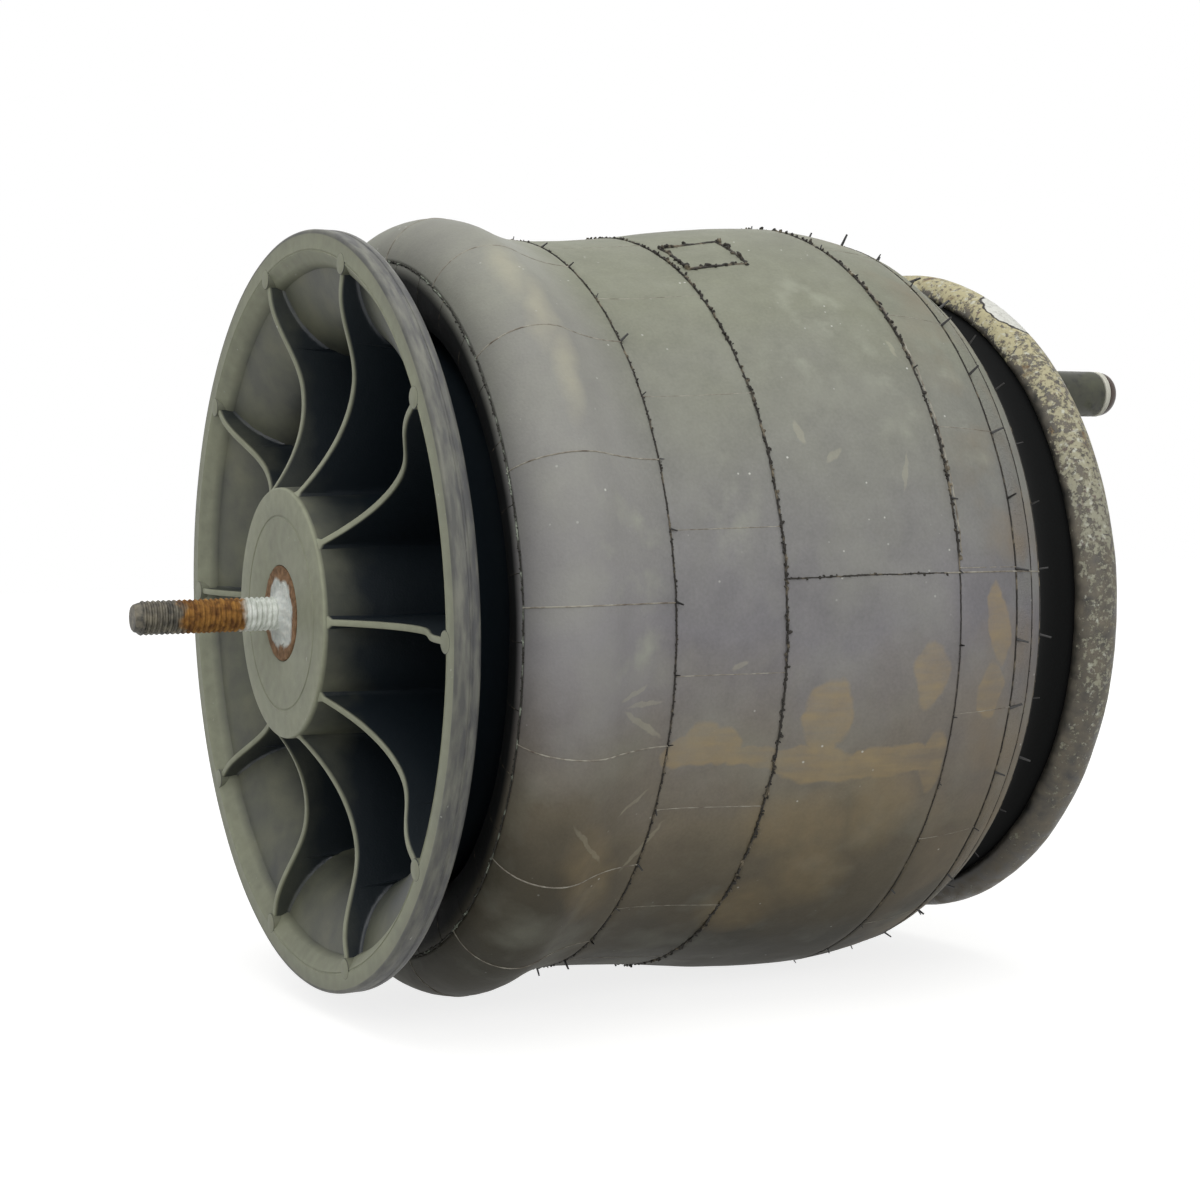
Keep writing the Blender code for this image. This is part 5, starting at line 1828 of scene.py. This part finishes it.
@dataclass
class BeadPlate:
    """The pressed steel plate with its rolled rim, its two studs and the inlet's plug."""

    paints: Paintbox
    radius: float = 0.1351
    thickness: float = 0.0030
    curl_radius: float = 0.0100
    lip_angle: float = 20.0
    stud_circle: float = 0.1040
    stud_angle: float = radians(180.0 - 129.5)
    stud_height: float = 0.0440
    inlet_radius: float = 0.0093
    bore_radius: float = 0.0055
    plain_radius: float = 0.00635
    head_radius: float = 0.0140
    head_thickness: float = 0.0045
    washer_thickness: float = 0.0024
    plug_radius: float = 0.0090
    plug_dome: float = 0.0060
    dent_waves: tuple[Point, ...] = ((0.30 * MM, 45.0), (0.12 * MM, 190.0))
    pitch: float = 0.001954

    def dents(self, depth: float, radius: float, angle: float) -> float:
        """Slight waves that the rolling tools and flaked paint leave."""
        return waves(place_at(depth, radius, angle), *self.dent_waves)

    def build_plate(self) -> None:
        """The disc and its rolled rim."""
        centre = (self.curl_radius, self.radius - self.curl_radius)
        inner = self.curl_radius - self.thickness
        lip_centre = arc(centre, (self.curl_radius + inner) / 2, self.lip_angle, self.lip_angle, 1)[0]
        lip = arc(lip_centre, self.thickness / 2, self.lip_angle, self.lip_angle - 180.0, 6)
        flat = centre[1]
        profile = [
            (0.0, 0.0), *((0.0, flat * i / 24) for i in range(1, 24)),
            *arc(centre, self.curl_radius, 180.0, self.lip_angle, 40), *lip[1:-1],
            *arc(centre, inner, self.lip_angle, 180.0, 24), (self.thickness, 0.0),
        ]
        piece = turned("bead_plate_rolled", profile, 288, self.dents, closed=False)
        self.paints.finish(piece, Surface.PLATE, Body.PLATE, "bead_plate")

    def stud_place(self, angle: float) -> tuple[float, float]:
        """Y and Z of a stud's axis."""
        spot = place_at(0.0, self.stud_circle, angle)
        return spot.y, spot.z

    def build_inlet(self) -> None:
        """The bored inlet stud with its plug and washer."""
        place = self.stud_place(self.stud_angle)
        end = -self.stud_height
        head = self.thickness + FIT_GAP
        round_edge = 1.0 * MM
        profile = [
            (end, self.bore_radius),
            *arc((end + round_edge, self.inlet_radius - round_edge), round_edge, 180, 90, 5),
            (head, self.inlet_radius), (head, self.head_radius),
            *arc(
                (head + self.head_thickness - round_edge, self.head_radius - round_edge), round_edge, 90, 0,
                5,
            ),
            (head + self.head_thickness, self.bore_radius),
        ]
        far = end - FIT_GAP
        near = far - self.washer_thickness
        ring = [
            *arc((near + 0.5 * MM, self.inlet_radius - 0.5 * MM), 0.5 * MM, 180, 90, 4),
            *arc((far - 0.5 * MM, self.inlet_radius - 0.5 * MM), 0.5 * MM, 90, 0, 4),
            (far, self.bore_radius), (near, self.bore_radius),
        ]
        seat = near - FIT_GAP
        shank = self.bore_radius - FIT_GAP
        dome = [
            (seat - self.plug_dome * sin(pi / 2 * i / 12), self.plug_radius * cos(pi / 2 * i / 12) ** 0.7)
            for i in range(12)
        ]
        plug_profile = [
            (seat - self.plug_dome, 0.0), *reversed(dome), (seat, shank),
            (end + 11 * MM, shank), (end + 11 * MM, 0.0),
        ]
        for name, points, surface, node in (
            ("inlet_stud_body", profile, Surface.STUD_BLACK, "air_inlet_stud"),
            ("inlet_washer_ring", ring, Surface.WASHER, "plug_washer"),
            ("inlet_plug_domed", plug_profile, Surface.PLUG, "inlet_plug"),
        ):
            piece = turned(name, points, 64, centre=place, closed=surface is not Surface.PLUG)
            self.paints.finish(piece, surface, Body.PLATE, node)

    def build_plain_stud(self) -> None:
        """The threaded stud opposite to the inlet."""
        place = self.stud_place(self.stud_angle + pi)
        crest = 0.7 * MM
        root = self.plain_radius - crest
        end = -self.stud_height
        head = self.thickness + FIT_GAP
        profile = [
            (end, 0.0), (end, root - MM), (end + 1.6 * MM, root), (-5 * MM, root),
            (-4 * MM, self.plain_radius), (head, self.plain_radius), (head, self.head_radius),
            (head + self.head_thickness - MM, self.head_radius),
            (head + self.head_thickness, self.head_radius - MM), (head + self.head_thickness, 0.0),
        ]
        stud = turned("plain_stud_body", profile, 56, centre=place, closed=False)
        self.paints.finish(stud, Surface.STUD_BLACK, Body.PLATE, "mounting_stud")
        length = self.stud_height - 7 * MM
        thread_tree().make("plain_stud_thread", {
            "Root Radius": root, "Crest Height": crest, "Pitch": self.pitch, "Turns": length / self.pitch,
            "Start": (self.stud_height - 1.6 * MM, *place), "Roughness": 0.05 * MM,
        }, Surface.STUD_BLACK, Body.PLATE, self.paints, smooth=True)

    def build(self) -> None:
        """Make the plate and everything fixed in it."""
        self.build_plate()
        self.build_inlet()
        self.build_plain_stud()


@dataclass
class HiddenParts:
    """Pieces inside the sleeve, which keep the frame's own meshes."""

    paints: Paintbox
    nodes: Mapping[str, bpy.types.Object]
    finishes: tuple[tuple[str, Surface], ...] = (
        ("upper_bead_hoop", Surface.HOOP), ("lower_bead_hoop", Surface.HOOP),
        ("end_closure", Surface.ZINC), ("bumper_retainer", Surface.ZINC), ("bumper", Surface.BUMPER),
        ("stud_seal_washer", Surface.ZINC), ("load_tube", Surface.ZINC),
    )

    def build(self) -> None:
        """Give each hidden piece its finish."""
        for name, surface in self.finishes:
            self.paints.dress_node(self.nodes[name], surface)


@dataclass
class Studio:
    """Pale floor, soft lamps and the camera at the photograph's angle."""

    floor_height: float
    floor_half: float = 40.0
    floor_colour: str = "#b8b8b5"
    lens: float = 62.93
    sensor: float = 36.0
    camera_place: tuple[float, float, float] = (-0.5445, -0.7460, 0.0129)
    heading: float = radians(27.575)   # from +Y towards +X
    pitch: float = radians(-0.83)
    roll: float = radians(-1.592)
    ambient: float = 0.22
    middle: tuple[float, float, float] = (-0.14, 0.0, 0.0)   # of the spring
    lamps: tuple[tuple[str, tuple[float, float, float], float, float], ...] = (
        ("overhead_lamp", (-0.25, -0.35, 1.5), 1.6, 14.0), ("front_lamp", (-1.3, -1.4, 0.9), 1.0, 7.5),
        ("fill_lamp", (-0.2, -1.8, 0.45), 1.2, 7.0), ("back_lamp", (1.1, 1.4, 0.8), 1.2, 4.0),
    )

    def add_camera(self) -> None:
        """The camera, nearly level with the spring's axis and turned towards its open end."""
        data = bpy.data.cameras.new("camera")
        data.lens, data.sensor_width = self.lens, self.sensor
        data.clip_start, data.clip_end = 0.02, 200.0
        camera = bpy.data.objects.new("camera", data)
        camera.matrix_world = (
            Matrix.Translation(self.camera_place) @ Matrix.Rotation(-self.heading, 4, "Z")
            @ Matrix.Rotation(pi / 2 + self.pitch, 4, "X") @ Matrix.Rotation(self.roll, 4, "Z")
        )
        bpy.context.scene.collection.objects.link(camera)
        bpy.context.scene.camera = camera

    def seen_directly(self, add: Callable[..., Sequence[Socket]]) -> Socket:
        """1 for what the camera sees directly, by a mirror or through glass.

        Args:
            add: adds a node to the tree.

        Returns:
            The mask.
        """
        seen, *others = (add("LightPath")[f"Is {ray} Ray"] for ray in ("Camera", "Glossy", "Transmission"))
        for ray in others:
            seen = add("Math", (seen, ray), operation="MAXIMUM")[0]
        return seen

    def add_world(self) -> None:
        """Soft light from all round, and a white background."""
        world = bpy.data.worlds.new("studio")
        world.use_nodes = True
        tree = world.node_tree
        tree.nodes.clear()
        add = partial(add_node, tree)
        strength = add("MapRange", (self.seen_directly(add), 0.0, 1.0, self.ambient, 1.0))[0]
        background = add("Background", {"Color": WHITE, "Strength": strength})[0]
        add("OutputWorld", {"Surface": background})
        bpy.context.scene.world = world

    def add_floor(self) -> None:
        """A plain floor that reads white and keeps a soft shadow."""
        half = self.floor_half
        mesh = bpy.data.meshes.new("floor")
        corners = [(-half, -half), (half, -half), (half, half), (-half, half)]
        mesh.from_pydata([(x, y, self.floor_height) for x, y in corners], [], [(0, 1, 2, 3)])
        floor = new_object("floor", mesh)
        coat = Coat("pale_paper_floor")
        away = coat.add("VectorMath", (coat.place,), operation="LENGTH")["Value"]
        glow = coat.both(coat.ramp(away, 0.5, 1.6, 0.80, 1.0), self.seen_directly(coat.add))
        mesh.materials.append(coat.close(linear(self.floor_colour), 0.9, (), {
            "Specular IOR Level": 0.0, "Emission Color": WHITE, "Emission Strength": glow,
        }))
        floor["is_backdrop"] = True

    def add_lamp(self, name: str, place: Vector, size: float, power: float) -> None:
        """A soft square lamp that looks at the spring's middle.

        Args:
            name: the lamp's name.
            place: where it hangs.
            size: its side.
            power: its power in watts.
        """
        data = bpy.data.lights.new(name, "AREA")
        data.size, data.energy = size, power
        lamp = bpy.data.objects.new(name, data)
        aim = (Vector(self.middle) - place).to_track_quat("-Z", "Y")
        lamp.matrix_world = Matrix.Translation(place) @ aim.to_matrix().to_4x4()
        bpy.context.scene.collection.objects.link(lamp)

    def build(self) -> None:
        """Set the studio up."""
        self.add_camera()
        self.add_world()
        self.add_floor()
        for name, place, size, power in self.lamps:
            self.add_lamp(name, Vector(place), size, power)
        bpy.context.scene.view_settings.view_transform = "Standard"


def corners() -> list[list[float]]:
    """The shown object's lowest and highest corner, as plain numbers."""
    return [list(corner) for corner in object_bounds()]


def main() -> None:
    """Build the spring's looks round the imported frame."""
    logging.basicConfig(level=logging.INFO, format="%(message)s")
    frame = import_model()
    sizes = {"cad": corners()}
    Studio(floor_height=sizes["cad"][0][2]).build()
    paints = Paintbox()
    Sleeve(paints).build()
    Piston(paints).build()
    LongStud(paints).build()
    BeadPlate(paints).build()
    HiddenParts(paints, frame["nodes"]).build()
    sizes["visual"] = corners()


if __name__ == "__main__":
    main()
